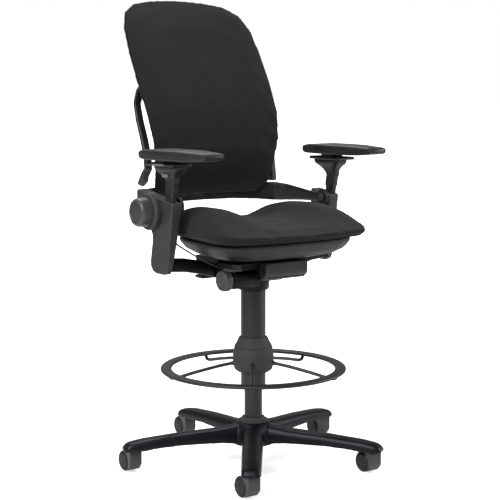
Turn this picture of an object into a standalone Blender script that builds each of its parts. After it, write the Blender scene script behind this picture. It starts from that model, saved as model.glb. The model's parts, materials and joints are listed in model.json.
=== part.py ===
"""Drafting chair with a height-adjustable foot ring, a five-arm caster base, four-way
adjustable armrests and a reclining upholstered back.

Metres, +Z up. The sitter faces -Y, so the sitter's right hand is on the -X side.
Pieces are drawn about the column's axis; the root empty then carries the whole chair to
the point under the centre of its outline, which is the part's origin.
"""
import math

import bmesh
import bpy
from mathutils import Vector

# ---- Driving dimensions ----------------------------------------------------------------
COLUMN_Y = -0.040            # the column's axis, ahead of the outline's centre
GAP = 0.0004                 # clearance between pieces that touch

ARM_COUNT = 5
BASE_YAW = math.radians(-0.9)
CASTER_RADIUS = 0.326        # column axis to a caster's stem
CASTER_TRAIL = 0.025         # stem to axle, seen from above
WHEEL_RADIUS = 0.027
WHEEL_HALF_TRACK = 0.0185    # caster's centre plane to a wheel's outer face
WHEEL_GAP = 0.0065           # caster's centre plane to a wheel's inner face
HOOD_TOP = 0.0572            # top of a caster's block, under the base arm
STEM_RADIUS = 0.0055

TUBE_RADIUS = 0.0237
SLEEVE_RADIUS = 0.0328
SLEEVE_BOTTOM, SLEEVE_TOP = 0.203, 0.4655
CYLINDER_RADIUS = 0.014
PISTON_RADIUS = 0.005

RING_RADIUS = 0.245          # outer radius of the foot ring
RING_WIDTH = 0.029
RING_THICKNESS = 0.010
RING_Z = 0.256
HUB_RADIUS = 0.054
SPOKE_RADIUS = 0.0045

CHASSIS_HALF_WIDTH = 0.12
CHASSIS_TOP = 0.540
CROSS_TUBE_Y, CROSS_TUBE_Z, CROSS_TUBE_RADIUS = -0.092, 0.512, 0.0235

PIVOT_Y, PIVOT_Z = 0.000, 0.697      # the back's recline axis
PIN_RADIUS = 0.0060
PIN_END = 0.2436                     # a pivot pin's blind end, inside the upright
KNOB_Y, KNOB_Z = 0.068, 0.680        # the large knob's axis
UPRIGHT_INNER = 0.2365               # half the clear width between the uprights' tops
UPRIGHT_FOOT = 0.2490                # and between their feet
UPRIGHT_OUTER = 0.2675
ARM_LEAN = math.radians(8.0)         # armrest stems lean forward
STEM_X, STEM_WIDTH, STEM_DEPTH = 0.2565, 0.014, 0.033
STEM_BOTTOM = 0.585
GUIDE_BOTTOM, GUIDE_TOP = 0.570, 0.750   # the stem's slot in the upright, cut clear of its top
FOOT_HEIGHT, WAIST_HEIGHT = 0.565, 0.665  # between them the upright's inner face tapers
PLATFORM_Z = 0.7985                  # underside of the sliding armrest plate
PAD_X, PAD_TOP = 0.261, 0.8415

SEAT_PAN_BOTTOM, SEAT_PAN_TOP = 0.556, 0.6085
BACK_WRAP = 0.034                    # how far the back's centre lies behind its edges
BACK_PADDING = 0.026
SHELL_THICKNESS = 0.008

SIDES = (("right", -1), ("left", 1))

# ---- Materials: colour, roughness, metallic --------------------------------------------
MATERIALS = {
    "black_fabric": ((0.018, 0.018, 0.020), 0.90, 0.0),
    "black_plastic": ((0.020, 0.020, 0.021), 0.50, 0.0),
    "grey_plastic": ((0.055, 0.057, 0.060), 0.55, 0.0),
    "soft_urethane": ((0.022, 0.022, 0.024), 0.60, 0.0),
    "black_paint": ((0.014, 0.015, 0.017), 0.34, 0.0),
    "bright_steel": ((0.55, 0.56, 0.57), 0.25, 1.0),
    "caster_plastic": ((0.030, 0.030, 0.031), 0.62, 0.0),
}


def material(name):
    """The named Principled material, made once."""
    if name in bpy.data.materials:
        return bpy.data.materials[name]
    colour, roughness, metallic = MATERIALS[name]
    made = bpy.data.materials.new(name)
    made.use_nodes = True
    shader = made.node_tree.nodes["Principled BSDF"]
    shader.inputs["Base Color"].default_value = (*colour, 1.0)
    shader.inputs["Roughness"].default_value = roughness
    shader.inputs["Metallic"].default_value = metallic
    return made


# ---- Bodies: one empty on each joint's axis --------------------------------------------
PIVOTS = {}


def add_body(name, pivot, parent=None):
    """An empty at a joint, under the empty of the body that carries it."""
    empty = bpy.data.objects.new("body_" + name, None)
    bpy.context.collection.objects.link(empty)
    PIVOTS[name] = Vector(pivot)
    if parent:
        empty.parent = bpy.data.objects["body_" + parent]
        empty.location = PIVOTS[name] - PIVOTS[parent]
    else:
        empty.location = Vector((0.0, COLUMN_Y, 0.0)) + PIVOTS[name]


def face_outwards(bm):
    """Point every face of a closed shape outwards."""
    bm.normal_update()
    bmesh.ops.recalc_face_normals(bm, faces=bm.faces)
    if bm.calc_volume(signed=True) < 0:
        bmesh.ops.reverse_faces(bm, faces=bm.faces)


def add_piece(name, bm, body, slot, smooth_angle=35.0):
    """Turn a closed bmesh, drawn about the column's axis, into a named piece of a body."""
    face_outwards(bm)
    bmesh.ops.translate(bm, verts=bm.verts, vec=-PIVOTS[body])
    mesh = bpy.data.meshes.new(name)
    bm.to_mesh(mesh)
    bm.free()
    mesh.materials.append(material(slot))
    mesh.shade_smooth()
    mesh.set_sharp_from_angle(angle=math.radians(smooth_angle))
    piece = bpy.data.objects.new(name, mesh)
    piece.parent = bpy.data.objects["body_" + body]
    bpy.context.collection.objects.link(piece)
    return piece


# ---- Shape helpers ---------------------------------------------------------------------
def loft(sections, closed=False):
    """Skin equal rings of points; the ends are capped unless the rings close on themselves."""
    bm = bmesh.new()
    rings = [[bm.verts.new(p) for p in section] for section in sections]
    count = len(rings[0])
    pairs = list(zip(rings, rings[1:]))
    if closed:
        pairs.append((rings[-1], rings[0]))
    for a, b in pairs:
        for i in range(count):
            j = (i + 1) % count
            bm.faces.new((a[i], a[j], b[j], b[i]))
    if not closed:
        bm.faces.new(rings[0])
        bm.faces.new(rings[-1])
    return bm


def turned(profile, segments, hollow=False, phase=0.0):
    """Spin a (radius, height) profile about Z: a closed loop if hollow, else axis to axis."""
    bm = bmesh.new()
    cos_p, sin_p = math.cos(phase), math.sin(phase)
    verts = [bm.verts.new((r * cos_p, r * sin_p, z)) for r, z in profile]
    edges = [bm.edges.new(pair) for pair in zip(verts, verts[1:])]
    if hollow:
        edges.append(bm.edges.new((verts[-1], verts[0])))
    bmesh.ops.spin(bm, geom=verts + edges, cent=(0, 0, 0), axis=(0, 0, 1), dvec=(0, 0, 0),
                   angle=math.tau, steps=segments, use_merge=True)
    bmesh.ops.remove_doubles(bm, verts=bm.verts, dist=0.000001)
    bm.normal_update()
    on_axis = [v for v in bm.verts if v.co.xy.length < 0.000001 and v.calc_shell_factor() < 1.0001]
    bmesh.ops.dissolve_verts(bm, verts=on_axis)
    return bm


def along_x(bm, x, y, z, sign=1):
    """Lay a piece turned about Z along X, so that its height runs towards sign * X."""
    for v in bm.verts:
        r_y, r_z, h = v.co.x, v.co.y, v.co.z
        v.co = Vector((x + sign * h, y + r_y, z + r_z))
    return bm


def rod(radius, z_low, z_high, segments):
    return turned([(0, z_low), (radius, z_low), (radius, z_high), (0, z_high)], segments)


def pipe(inner, outer, z_low, z_high, segments):
    profile = [(inner, z_low), (outer, z_low), (outer, z_high), (inner, z_high)]
    return turned(profile, segments, hollow=True)


def box(x, y, z, bevel=0.0):
    """A block between pairs of limits, with its edges broken by a bevel."""
    ring = [(x[0], y[0]), (x[1], y[0]), (x[1], y[1]), (x[0], y[1])]
    bm = loft([[Vector((px, py, h)) for px, py in ring] for h in z])
    return soften(bm, bevel) if bevel else bm


def soften(bm, width, segments=1, limit=30.0):
    """Bevel every edge whose faces turn by more than the limit, in degrees."""
    face_outwards(bm)
    edges = [e for e in bm.edges if e.calc_face_angle(0.0) > math.radians(limit)]
    bmesh.ops.bevel(bm, geom=edges, offset=width, segments=segments, profile=0.5, affect="EDGES")
    return bm


def filleted(corners, steps=3):
    """A 2-D outline from (a, b, radius) corners, each rounded by an arc."""
    outline = []
    count = len(corners)
    for i, (a, b, radius) in enumerate(corners):
        here = Vector((a, b))
        to_last = (Vector(corners[i - 1][:2]) - here).normalized()
        to_next = (Vector(corners[(i + 1) % count][:2]) - here).normalized()
        if radius == 0.0:
            outline.append(here)
            continue
        half = to_last.angle(to_next) / 2.0
        centre = here + (to_last + to_next).normalized() * (radius / math.sin(half))
        start = here + to_last * (radius / math.tan(half)) - centre
        sweep = start.angle_signed(here + to_next * (radius / math.tan(half)) - centre)
        for k in range(steps + 1):
            turn = -sweep * k / steps
            cos_t, sin_t = math.cos(turn), math.sin(turn)
            outline.append(centre + Vector((start.x * cos_t - start.y * sin_t,
                                            start.x * sin_t + start.y * cos_t)))
    return outline


def inset(outline, amount):
    """A counter-clockwise 2-D outline moved inwards by an amount, with mitred corners."""
    moved = []
    count = len(outline)
    for i, here in enumerate(outline):
        back = (here - outline[i - 1]).normalized()
        ahead = (outline[(i + 1) % count] - here).normalized()
        inward = Vector((-back.y, back.x)) + Vector((-ahead.y, ahead.x))
        inward.normalize()
        moved.append(here + inward * (amount / max(0.5, inward.dot(Vector((-back.y, back.x))))))
    return moved


def side_plate(outline, x_low, x_high, chamfer=0.0):
    """Extrude a counter-clockwise outline in Y and Z between two values of X."""
    layers = [(x_low, 0.0), (x_high, 0.0)]
    if chamfer:
        layers = [(x_low, chamfer), (x_low + chamfer, 0.0), (x_high - chamfer, 0.0),
                  (x_high, chamfer)]
    return loft([[Vector((x, p.x, p.y)) for p in inset(outline, edge)] for x, edge in layers])


def smooth_loop(points, steps):
    """Points of a closed Catmull-Rom curve, a number of steps for each given point."""
    points = [Vector(p) for p in points]
    count = len(points)
    curve = []
    for i in range(count):
        p0, p1, p2, p3 = (points[(i + k - 1) % count] for k in range(4))
        for s in range(steps):
            t = s / steps
            curve.append(0.5 * (2 * p1 + (p2 - p0) * t + (2 * p0 - 5 * p1 + 4 * p2 - p3) * t**2
                                + (3 * p1 - p0 - 3 * p2 + p3) * t**3))
    return curve


def smooth_path(points, steps):
    """Points of an open Catmull-Rom curve through every given point."""
    points = [Vector(p) for p in points]
    ends = [points[0] * 2 - points[1]] + points + [points[-1] * 2 - points[-2]]
    curve = []
    for i in range(len(points) - 1):
        p0, p1, p2, p3 = ends[i:i + 4]
        for s in range(steps):
            t = s / steps
            curve.append(0.5 * (2 * p1 + (p2 - p0) * t + (2 * p0 - 5 * p1 + 4 * p2 - p3) * t**2
                                + (3 * p1 - p0 - 3 * p2 + p3) * t**3))
    return curve + [points[-1]]


def blend(table, value):
    """Read a smooth rule given by its few (value, result) points."""
    if value <= table[0][0]:
        return table[0][1]
    for (v0, r0), (v1, r1) in zip(table, table[1:]):
        if value <= v1:
            t = (value - v0) / (v1 - v0)
            return r0 + (r1 - r0) * t * t * (3 - 2 * t)
    return table[-1][1]


def straight(table, value):
    """Read a rule given by its few points, with straight lines between them."""
    if value <= table[0][0]:
        return table[0][1]
    for (v0, r0), (v1, r1) in zip(table, table[1:]):
        if value <= v1:
            return r0 + (r1 - r0) * (value - v0) / (v1 - v0)
    return table[-1][1]


def sweep(path, sizes, side, sides=8, squareness=0.6):
    """A bar along a path; sizes are (half width along side, half thickness) at each point."""
    sections = []
    for i, point in enumerate(path):
        ahead = path[min(i + 1, len(path) - 1)] - path[max(i - 1, 0)]
        tangent = ahead.normalized()
        across = (side - tangent * side.dot(tangent)).normalized()
        normal = tangent.cross(across)
        half_width, half_thickness = sizes[i]
        ring = []
        for k in range(sides):
            angle = math.tau * (k + 0.5) / sides
            c, s = math.cos(angle), math.sin(angle)
            a = math.copysign(abs(c) ** squareness, c) * half_width
            b = math.copysign(abs(s) ** squareness, s) * half_thickness
            ring.append(point + across * a + normal * b)
        sections.append(ring)
    return loft(sections)


def pillow(outline, centre, upper, lower, levels, place):
    """A soft closed body. Rings of the outline shrink to its centre; upper(u, v, t) and
    lower(u, v, t) give the heights, and place(u, v, h) puts a point in space."""
    bm = bmesh.new()
    centre = Vector(centre)

    def ring(level, height):
        spots = [centre + (Vector(p) - centre) * level for p in outline]
        return [bm.verts.new(place(s.x, s.y, height(s.x, s.y, level))) for s in spots]

    tops = [ring(t, upper) for t in levels]
    unders = [ring(t, lower) for t in levels]
    count = len(outline)
    for a, b in [*zip(tops, tops[1:]), *zip(unders, unders[1:]), (tops[-1], unders[-1])]:
        for i in range(count):
            j = (i + 1) % count
            bm.faces.new((a[i], a[j], b[j]))
            bm.faces.new((a[i], b[j], b[i]))
    for end, height in ((tops[0], upper), (unders[0], lower)):
        hub = bm.verts.new(place(centre.x, centre.y, height(centre.x, centre.y, 0.0)))
        for i in range(count):
            bm.faces.new((end[i], end[(i + 1) % count], hub))
    return bm


def combine(base, tool, operation):
    """Boolean of two closed bmeshes with the exact solver; operation is UNION, DIFFERENCE
    or INTERSECT. Both are used up."""
    pair = []
    for bm in (base, tool):
        face_outwards(bm)
        mesh = bpy.data.meshes.new("scratch")
        bm.to_mesh(mesh)
        bm.free()
        scratch = bpy.data.objects.new("scratch", mesh)
        bpy.context.collection.objects.link(scratch)
        pair.append(scratch)
    modifier = pair[0].modifiers.new("combine", "BOOLEAN")
    modifier.operation = operation
    modifier.solver = "EXACT"
    modifier.object = pair[1]
    graph = bpy.context.evaluated_depsgraph_get()
    result = bmesh.new()
    result.from_mesh(pair[0].evaluated_get(graph).to_mesh())
    for scratch in pair:
        mesh = scratch.data
        bpy.data.objects.remove(scratch)
        bpy.data.meshes.remove(mesh)
    return result


def mirrored(bm):
    """The same shape on the other side of the chair's middle plane."""
    for v in bm.verts:
        v.co.x = -v.co.x
    return bm


def arm_angles():
    """Directions of the base arms: one points back."""
    return [math.pi / 2 + BASE_YAW + math.tau * k / ARM_COUNT for k in range(ARM_COUNT)]


def rotated(bm, angle):
    """The same shape turned about the column's axis."""
    c, s = math.cos(angle), math.sin(angle)
    for v in bm.verts:
        v.co = Vector((v.co.x * c - v.co.y * s, v.co.x * s + v.co.y * c, v.co.z))
    return bm


# ---- Base ------------------------------------------------------------------------------
ARM_TOP = [(0.030, 0.110), (0.060, 0.1045), (0.100, 0.0995), (0.200, 0.0945), (0.300, 0.0860),
           (0.340, 0.0785), (0.350, 0.0715), (0.353, 0.0660)]
ARM_UNDER = [(0.030, 0.058), (0.100, 0.0645), (0.200, 0.0660), (0.270, 0.0625), (0.300, 0.0580)]
ARM_WIDTH = [(0.030, 0.0300), (0.100, 0.0275), (0.300, 0.0255), (0.340, 0.0250), (0.350, 0.0215),
             (0.353, 0.0170)]


def arm_section(radius, inset, floor, steps):
    """A dome-shaped slice of a base arm, square to the +X direction."""
    half = straight(ARM_WIDTH, radius) - inset
    top = straight(ARM_TOP, radius) - inset
    ring = []
    for k in range(steps + 1):
        angle = math.pi * k / steps
        c, s = math.cos(angle), math.sin(angle)
        y = math.copysign(abs(c) ** 0.62, c) * half
        ring.append(Vector((radius, y, floor + (top - floor) * s ** 0.62)))
    return ring


def build_base():
    """The five-arm base, hollow underneath, and the collar round the tube."""
    hub = turned([(0, 0.0540), (0.056, 0.0540), (0.059, 0.060), (0.058, 0.080), (0.052, 0.098),
                  (0.044, 0.109), (0.040, 0.1125), (0, 0.1125)], 24)
    radii = (0.030, 0.100, 0.200, 0.300, 0.340, 0.350, 0.353)
    for angle in arm_angles():
        arm = loft([arm_section(r, 0.0, straight(ARM_UNDER, r), 8) for r in radii])
        hub = combine(hub, rotated(arm, angle), "UNION")
    wall = 0.004
    for angle in arm_angles():
        pocket = loft([arm_section(r, wall, 0.045, 5) for r in (0.070, 0.187, 0.294)])
        hub = combine(hub, rotated(pocket, angle), "DIFFERENCE")
        socket = rod(STEM_RADIUS + 2 * GAP, 0.040, 0.0745, 12)
        bmesh.ops.translate(socket, verts=socket.verts, vec=(CASTER_RADIUS, 0, 0))
        hub = combine(hub, rotated(socket, angle), "DIFFERENCE")
    hub = combine(hub, rod(TUBE_RADIUS + GAP, 0.045, 0.120, 24), "DIFFERENCE")
    add_piece("base_star", hub, "base", "black_paint")

    collar = turned([(TUBE_RADIUS + GAP, 0.1130), (0.0385, 0.1130), (0.0385, 0.1180),
                     (0.0315, 0.1200), (0.0300, 0.1255), (TUBE_RADIUS + GAP, 0.1255)],
                    24, hollow=True)
    add_piece("base_collar", collar, "base", "black_plastic")


def build_casters():
    """Five twin-wheel casters, each with its own swivel."""
    wheel_facets = 16
    for k, angle in enumerate(arm_angles(), 1):
        stem = Vector((CASTER_RADIUS * math.cos(angle), CASTER_RADIUS * math.sin(angle), 0))
        axle = stem + Vector((0, CASTER_TRAIL, WHEEL_RADIUS))
        caster = f"caster_{k}"
        add_body(caster, (stem.x, stem.y, HOOD_TOP), "base")
        add_piece(f"caster_hood_{k}", caster_hood(stem, axle), caster, "caster_plastic")
        for side, sign in SIDES:
            body = f"wheel_{k}_{side}"
            add_body(body, axle, caster)
            add_piece(body, wheel(axle, sign, wheel_facets), body, "caster_plastic", 50.0)


def caster_hood(stem, axle):
    """The block under a base arm, its web between the wheels, the stem and the axle."""
    y, z = axle.y, axle.z
    front = stem.y - 0.0140
    corners = [(front, HOOD_TOP, 0.002), (front, 0.022, 0.012), (front + 0.014, 0.006, 0.010),
               (y + 0.006, 0.006, 0.006), (y + 0.011, z + 0.010, 0.006),
               (stem.y + 0.0185, 0.0475, 0.002), (stem.y + 0.0185, HOOD_TOP, 0.002)]
    hood = side_plate(filleted(corners, 2), stem.x - 0.0175, stem.x + 0.0175)
    clearance = WHEEL_RADIUS + 0.0013
    for _, sign in SIDES:
        hollow = along_x(rod(clearance, 0, 0.03, 16), axle.x + sign * (WHEEL_GAP - 0.0005),
                         y, z, sign)
        hood = combine(hood, hollow, "DIFFERENCE")
    pin = along_x(rod(0.0030, -0.015, 0.015, 9), axle.x, y, z)
    hood = combine(hood, pin, "UNION")
    post = rod(STEM_RADIUS, 0.045, 0.0735, 10)
    bmesh.ops.translate(post, verts=post.verts, vec=(stem.x, stem.y, 0))
    return combine(hood, post, "UNION")


def wheel(axle, sign, facets):
    """One half of a twin caster: a rounded tread, a domed face and a blind hub hole."""
    reach = WHEEL_RADIUS / math.cos(math.pi / facets)
    width = WHEEL_HALF_TRACK - WHEEL_GAP
    hole = 0.0030 + GAP
    depth = 0.0090
    profile = [(0, depth), (hole, depth), (hole, 0), (reach, 0), (reach, 0.0080),
               (reach - 0.0035, 0.0110), (0.012, width), (0, width)]
    bm = turned(profile, facets, phase=math.pi / 2 + math.pi / facets)
    return along_x(bm, axle.x + sign * WHEEL_GAP, axle.y, axle.z, sign)


# ---- Column ----------------------------------------------------------------------------
def build_column():
    """The fixed tube with its piston rod, and the sleeve and cylinder that rise."""
    tube_profile = [(0, 0.0520), (TUBE_RADIUS, 0.0520), (TUBE_RADIUS, 0.400), (0.0215, 0.400),
                    (0.0215, 0.056), (0, 0.056)]
    add_piece("lower_tube", turned(tube_profile, 32), "base", "black_paint")
    bush = pipe(CYLINDER_RADIUS + GAP, 0.0215 - GAP, 0.330, 0.399, 24)
    add_piece("guide_bush", bush, "base", "grey_plastic")
    piston = turned([(0, 0.0564), (PISTON_RADIUS, 0.0564), (PISTON_RADIUS, 0.385),
                     (0.0110, 0.386), (0.0110, 0.400), (0, 0.400)], 16)
    add_piece("piston_rod", piston, "base", "bright_steel")

    add_body("lift", (0, 0, SLEEVE_TOP), "base")
    add_piece("gas_cylinder", gas_cylinder(), "lift", "black_paint")
    sleeve = turned([(CYLINDER_RADIUS + GAP, 0.4605), (0.0300, 0.4605), (0.0300, SLEEVE_BOTTOM),
                     (SLEEVE_RADIUS, SLEEVE_BOTTOM), (SLEEVE_RADIUS, SLEEVE_TOP),
                     (CYLINDER_RADIUS + GAP, SLEEVE_TOP)], 32, hollow=True)
    add_piece("upper_sleeve", sleeve, "lift", "black_paint")
    glide = pipe(TUBE_RADIUS + GAP, 0.0300 - GAP, 0.2045, 0.235, 24)
    add_piece("sleeve_bush", glide, "lift", "grey_plastic")


def gas_cylinder():
    """A closed-topped cylinder, open at the foot where the piston rod enters."""
    outer = turned([(0, 0.135), (CYLINDER_RADIUS, 0.135), (CYLINDER_RADIUS, 0.515),
                    (0.0125, 0.528), (0, 0.528)], 24)
    chamber = turned([(0, 0.125), (PISTON_RADIUS + GAP, 0.125), (PISTON_RADIUS + GAP, 0.140),
                      (0.0115, 0.142), (0.0115, 0.475), (0, 0.475)], 16)
    return combine(outer, chamber, "DIFFERENCE")


# ---- Foot ring -------------------------------------------------------------------------
def build_foot_ring():
    """The foot ring with its hub and spokes, and the collar that locks it."""
    add_body("ring", (0, 0, RING_Z), "lift")
    bore = SLEEVE_RADIUS + GAP
    hub = turned([(bore, 0.247), (0.0400, 0.247), (0.0500, 0.2540), (HUB_RADIUS, 0.270),
                  (HUB_RADIUS, 0.296), (0.0500, 0.3145), (bore, 0.3145)], 32, hollow=True)
    add_piece("ring_hub", hub, "ring", "black_plastic")

    middle = RING_RADIUS - RING_WIDTH / 2
    section = []
    for k in range(8):
        angle = math.tau * (k + 0.5) / 8
        c, s = math.cos(angle), math.sin(angle)
        section.append((middle + math.copysign(abs(c) ** 0.7, c) * RING_WIDTH / 2 / 0.946,
                        RING_Z + math.copysign(abs(s) ** 0.7, s) * RING_THICKNESS / 2 / 0.946))
    ring = turned(section, 48, hollow=True, phase=math.radians(1.3))
    for angle in arm_angles():
        route = [(HUB_RADIUS + 0.0010, 0, 0.2720), (0.100, 0, 0.2650), (0.205, 0, 0.2420),
                 (0.218, 0, 0.2415), (0.2265, 0, 0.2440), (middle, 0, RING_Z - 0.0035)]
        path = [Vector(p) for p in route]
        sizes = [(SPOKE_RADIUS, SPOKE_RADIUS)] * len(path)
        spoke = rotated(sweep(path, sizes, Vector((0, 1, 0)), 8, 1.0), angle)
        ring = combine(ring, spoke, "UNION")
    add_piece("foot_ring", ring, "ring", "black_paint", 50.0)

    add_body("ring_lock", (0, 0, 0.328), "ring")
    collar = turned([(bore, 0.3149), (0.0497, 0.3149), (0.0440, 0.3260), (0.0380, 0.3390),
                     (0.0360, 0.3410), (bore, 0.3410)], 32, hollow=True)
    add_piece("ring_lock_collar", collar, "ring_lock", "black_plastic")


# ---- Mechanism under the seat ----------------------------------------------------------
def build_mechanism():
    """The housing under the seat with its covers, bars, knob, lever and cable."""
    add_body("chassis", (0, 0, 0.500), "lift")
    housing = box((-0.050, 0.050), (-0.0585, 0.105), (0.4940, 0.5350))
    plate = box((-CHASSIS_HALF_WIDTH, CHASSIS_HALF_WIDTH), (-0.0540, 0.105), (0.5300, CHASSIS_TOP))
    housing = combine(housing, plate, "UNION")
    lugs = box((-0.1194, 0.1194), (-0.004, 0.034), (0.5060, 0.5345))
    housing = combine(housing, lugs, "UNION")
    shelf = box((-0.1430, -0.0645), (-0.1160, -0.0400), (0.5370, 0.5530))
    housing = combine(housing, shelf, "UNION")
    socket = turned([(0, 0.4665), (0.0390, 0.4665), (0.0425, 0.4720), (0.0430, 0.4960),
                     (0.0410, 0.5000), (0, 0.5000)], 24)
    housing = combine(housing, socket, "UNION")
    taper = turned([(0, 0.4600), (CYLINDER_RADIUS + GAP, 0.4600), (CYLINDER_RADIUS + GAP, 0.5155),
                    (0.0129, 0.5290), (0, 0.5290)], 24)
    housing = combine(housing, taper, "DIFFERENCE")
    add_piece("mechanism_housing", housing, "chassis", "black_paint")

    corners = [(-0.0590, 0.5030, 0.003), (-0.0590, 0.5545, 0.003), (-0.1420, 0.5545, 0.006),
               (-0.1420, 0.5200, 0.012), (-0.1250, 0.5080, 0.012)]
    cover = side_plate(filleted(corners, 3), -0.063, 0.071, 0.0028)
    pocket = box((-0.058, 0.066), (-0.1360, -0.0500), (0.5130, 0.5500))
    add_piece("front_cover", combine(cover, pocket, "DIFFERENCE"), "chassis", "black_plastic")

    tube = turned([(0, 0), (CROSS_TUBE_RADIUS, 0), (CROSS_TUBE_RADIUS, 0.0780), (0.020, 0.0800),
                   (0, 0.0800)], 24)
    add_piece("cross_tube", along_x(tube, -0.0635, CROSS_TUBE_Y, CROSS_TUBE_Z, -1), "chassis",
              "black_paint")

    for side, sign in SIDES:
        path = [Vector((sign * x, y, z)) for x, y, z in
                ((UPRIGHT_FOOT - 0.0042, 0.016, 0.5470), (0.205, 0.016, 0.5440),
                 (0.160, 0.016, 0.5350), (CHASSIS_HALF_WIDTH + GAP, 0.015, 0.5240))]
        bar = sweep(path, [(0.0135, 0.0175)] * 4, Vector((0, 1, 0)), 12, 0.45)
        flatten_ends(bar, path)
        add_piece(f"side_bar_{side}", bar, "chassis", "black_paint")

    add_body("tension_knob", (-0.144, CROSS_TUBE_Y, CROSS_TUBE_Z), "chassis")
    knob = turned([(0, 0), (0.0180, 0), (0.0265, 0.0030), (0.0265, 0.0180), (0.0240, 0.0225),
                   (0.0190, 0.0225), (0.0175, 0.0205), (0, 0.0215)], 24)
    add_piece("tension_knob", along_x(knob, -0.1440, CROSS_TUBE_Y, CROSS_TUBE_Z, -1),
              "tension_knob", "black_plastic")

    add_body("height_lever", (-0.0555, 0.056, 0.5080), "chassis")
    arm = box((-0.098, -0.0504), (0.050, 0.062), (0.5030, 0.5100), 0.002)
    paddle = box((-0.136, -0.090), (0.036, 0.074), (0.5000, 0.5080), 0.0025)
    add_piece("height_lever", combine(arm, paddle, "UNION"), "height_lever", "black_plastic")

    cable_route = [(-0.2400, 0.022, 0.6150), (-0.2290, 0.012, 0.5990), (-0.2060, -0.005, 0.5800),
                   (-0.1780, -0.020, 0.5610), (-0.1480, -0.026, 0.5450), (-0.1218, -0.030, 0.5350)]
    path = smooth_path(cable_route, 3)
    cable = sweep(path, [(0.0022, 0.0022)] * len(path), Vector((0, 1, 0)), 8, 1.0)
    add_piece("control_cable", cable, "chassis", "black_plastic", 60.0)


def flatten_ends(bar, path):
    """Square both ends of a sideways bar to the planes of its first and last points."""
    count = len(bar.verts) // len(path)
    verts = list(bar.verts)
    for ring, point in ((verts[:count], path[0]), (verts[-count:], path[-1])):
        for v in ring:
            v.co.x = point.x


# ---- Arm uprights and the recline pivot -------------------------------------------------
UPRIGHT_FRONT = [(-0.0265, 0.7060, 0.004), (-0.0230, 0.6800, 0.060),
                 (0.0000, 0.5230, 0.022), (0.0860, 0.5230, 0.026)]
UPRIGHT_REAR = {
    "left": [(0.0690, 0.6100, 0.060), (0.0620, 0.6600, 0.060), (0.0580, 0.7197, 0.006)],
    "right": [(0.0690, 0.6060, 0.030), (0.0700, 0.6280, 0.020), (0.1180, 0.6560, 0.020),
              (0.1430, 0.7000, 0.030), (0.1435, 0.7335, 0.005)],
}


def build_uprights():
    """The uprights that carry the armrests, the pins of the back's hinge and the large knob."""
    for side, sign in SIDES:
        outline = filleted(UPRIGHT_FRONT + UPRIGHT_REAR[side], 3)
        upright = side_plate(outline, UPRIGHT_INNER, UPRIGHT_OUTER, 0.0030)
        for v in upright.verts:
            if v.co.x < UPRIGHT_INNER + 0.01:
                drop = min(1.0, max(0.0, (WAIST_HEIGHT - v.co.z) / (WAIST_HEIGHT - FOOT_HEIGHT)))
                v.co.x += (UPRIGHT_FOOT - UPRIGHT_INNER) * drop
        upright = combine(upright, stem_shape(STEM_WIDTH + 2 * GAP, STEM_DEPTH + 2 * GAP,
                                              GUIDE_BOTTOM, GUIDE_TOP), "DIFFERENCE")
        hole = along_x(rod(PIN_RADIUS + GAP, 0.220, PIN_END + GAP, 12), 0, PIVOT_Y, PIVOT_Z)
        upright = combine(upright, hole, "DIFFERENCE")
        if sign < 0:
            mirrored(upright)
        add_piece(f"arm_upright_{side}", upright, "chassis", "grey_plastic")

        profile = [(0, 0.2235), (0.0085, 0.2235), (0.0105, 0.2250), (0.0105, 0.2270),
                   (PIN_RADIUS, 0.2270), (PIN_RADIUS, PIN_END), (0, PIN_END)]
        pin = along_x(turned(profile, 12), 0, PIVOT_Y, PIVOT_Z, sign)
        add_piece(f"pivot_pin_{side}", pin, "chassis", "black_plastic")

    add_body("firmness_knob", (-UPRIGHT_OUTER, KNOB_Y, KNOB_Z), "chassis")
    knob = turned([(0, 0), (0.0460, 0), (0.0470, 0.0140), (0.0440, 0.0170), (0.0380, 0.0180),
                   (0.0360, 0.0440), (0.0320, 0.0490), (0.0250, 0.0500), (0.0230, 0.0475),
                   (0, 0.0475)], 28)
    add_piece("firmness_knob", along_x(knob, -UPRIGHT_OUTER - GAP, KNOB_Y, KNOB_Z, -1),
              "firmness_knob", "black_plastic")


def stem_axis(z):
    """Y of an armrest stem's middle at a height; the stem leans forward."""
    return -0.0020 - (z - 0.700) * math.tan(ARM_LEAN)


def stem_shape(width, depth, z_low, z_high):
    """A leaning rectangular bar on the left side of the chair, cut square to Z."""
    sections = []
    for z in (z_low, z_high):
        y = stem_axis(z)
        corners = [(STEM_X - width / 2, y - depth / 2), (STEM_X + width / 2, y - depth / 2),
                   (STEM_X + width / 2, y + depth / 2), (STEM_X - width / 2, y + depth / 2)]
        sections.append([Vector((cx, cy, z)) for cx, cy in corners])
    return loft(sections)


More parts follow.
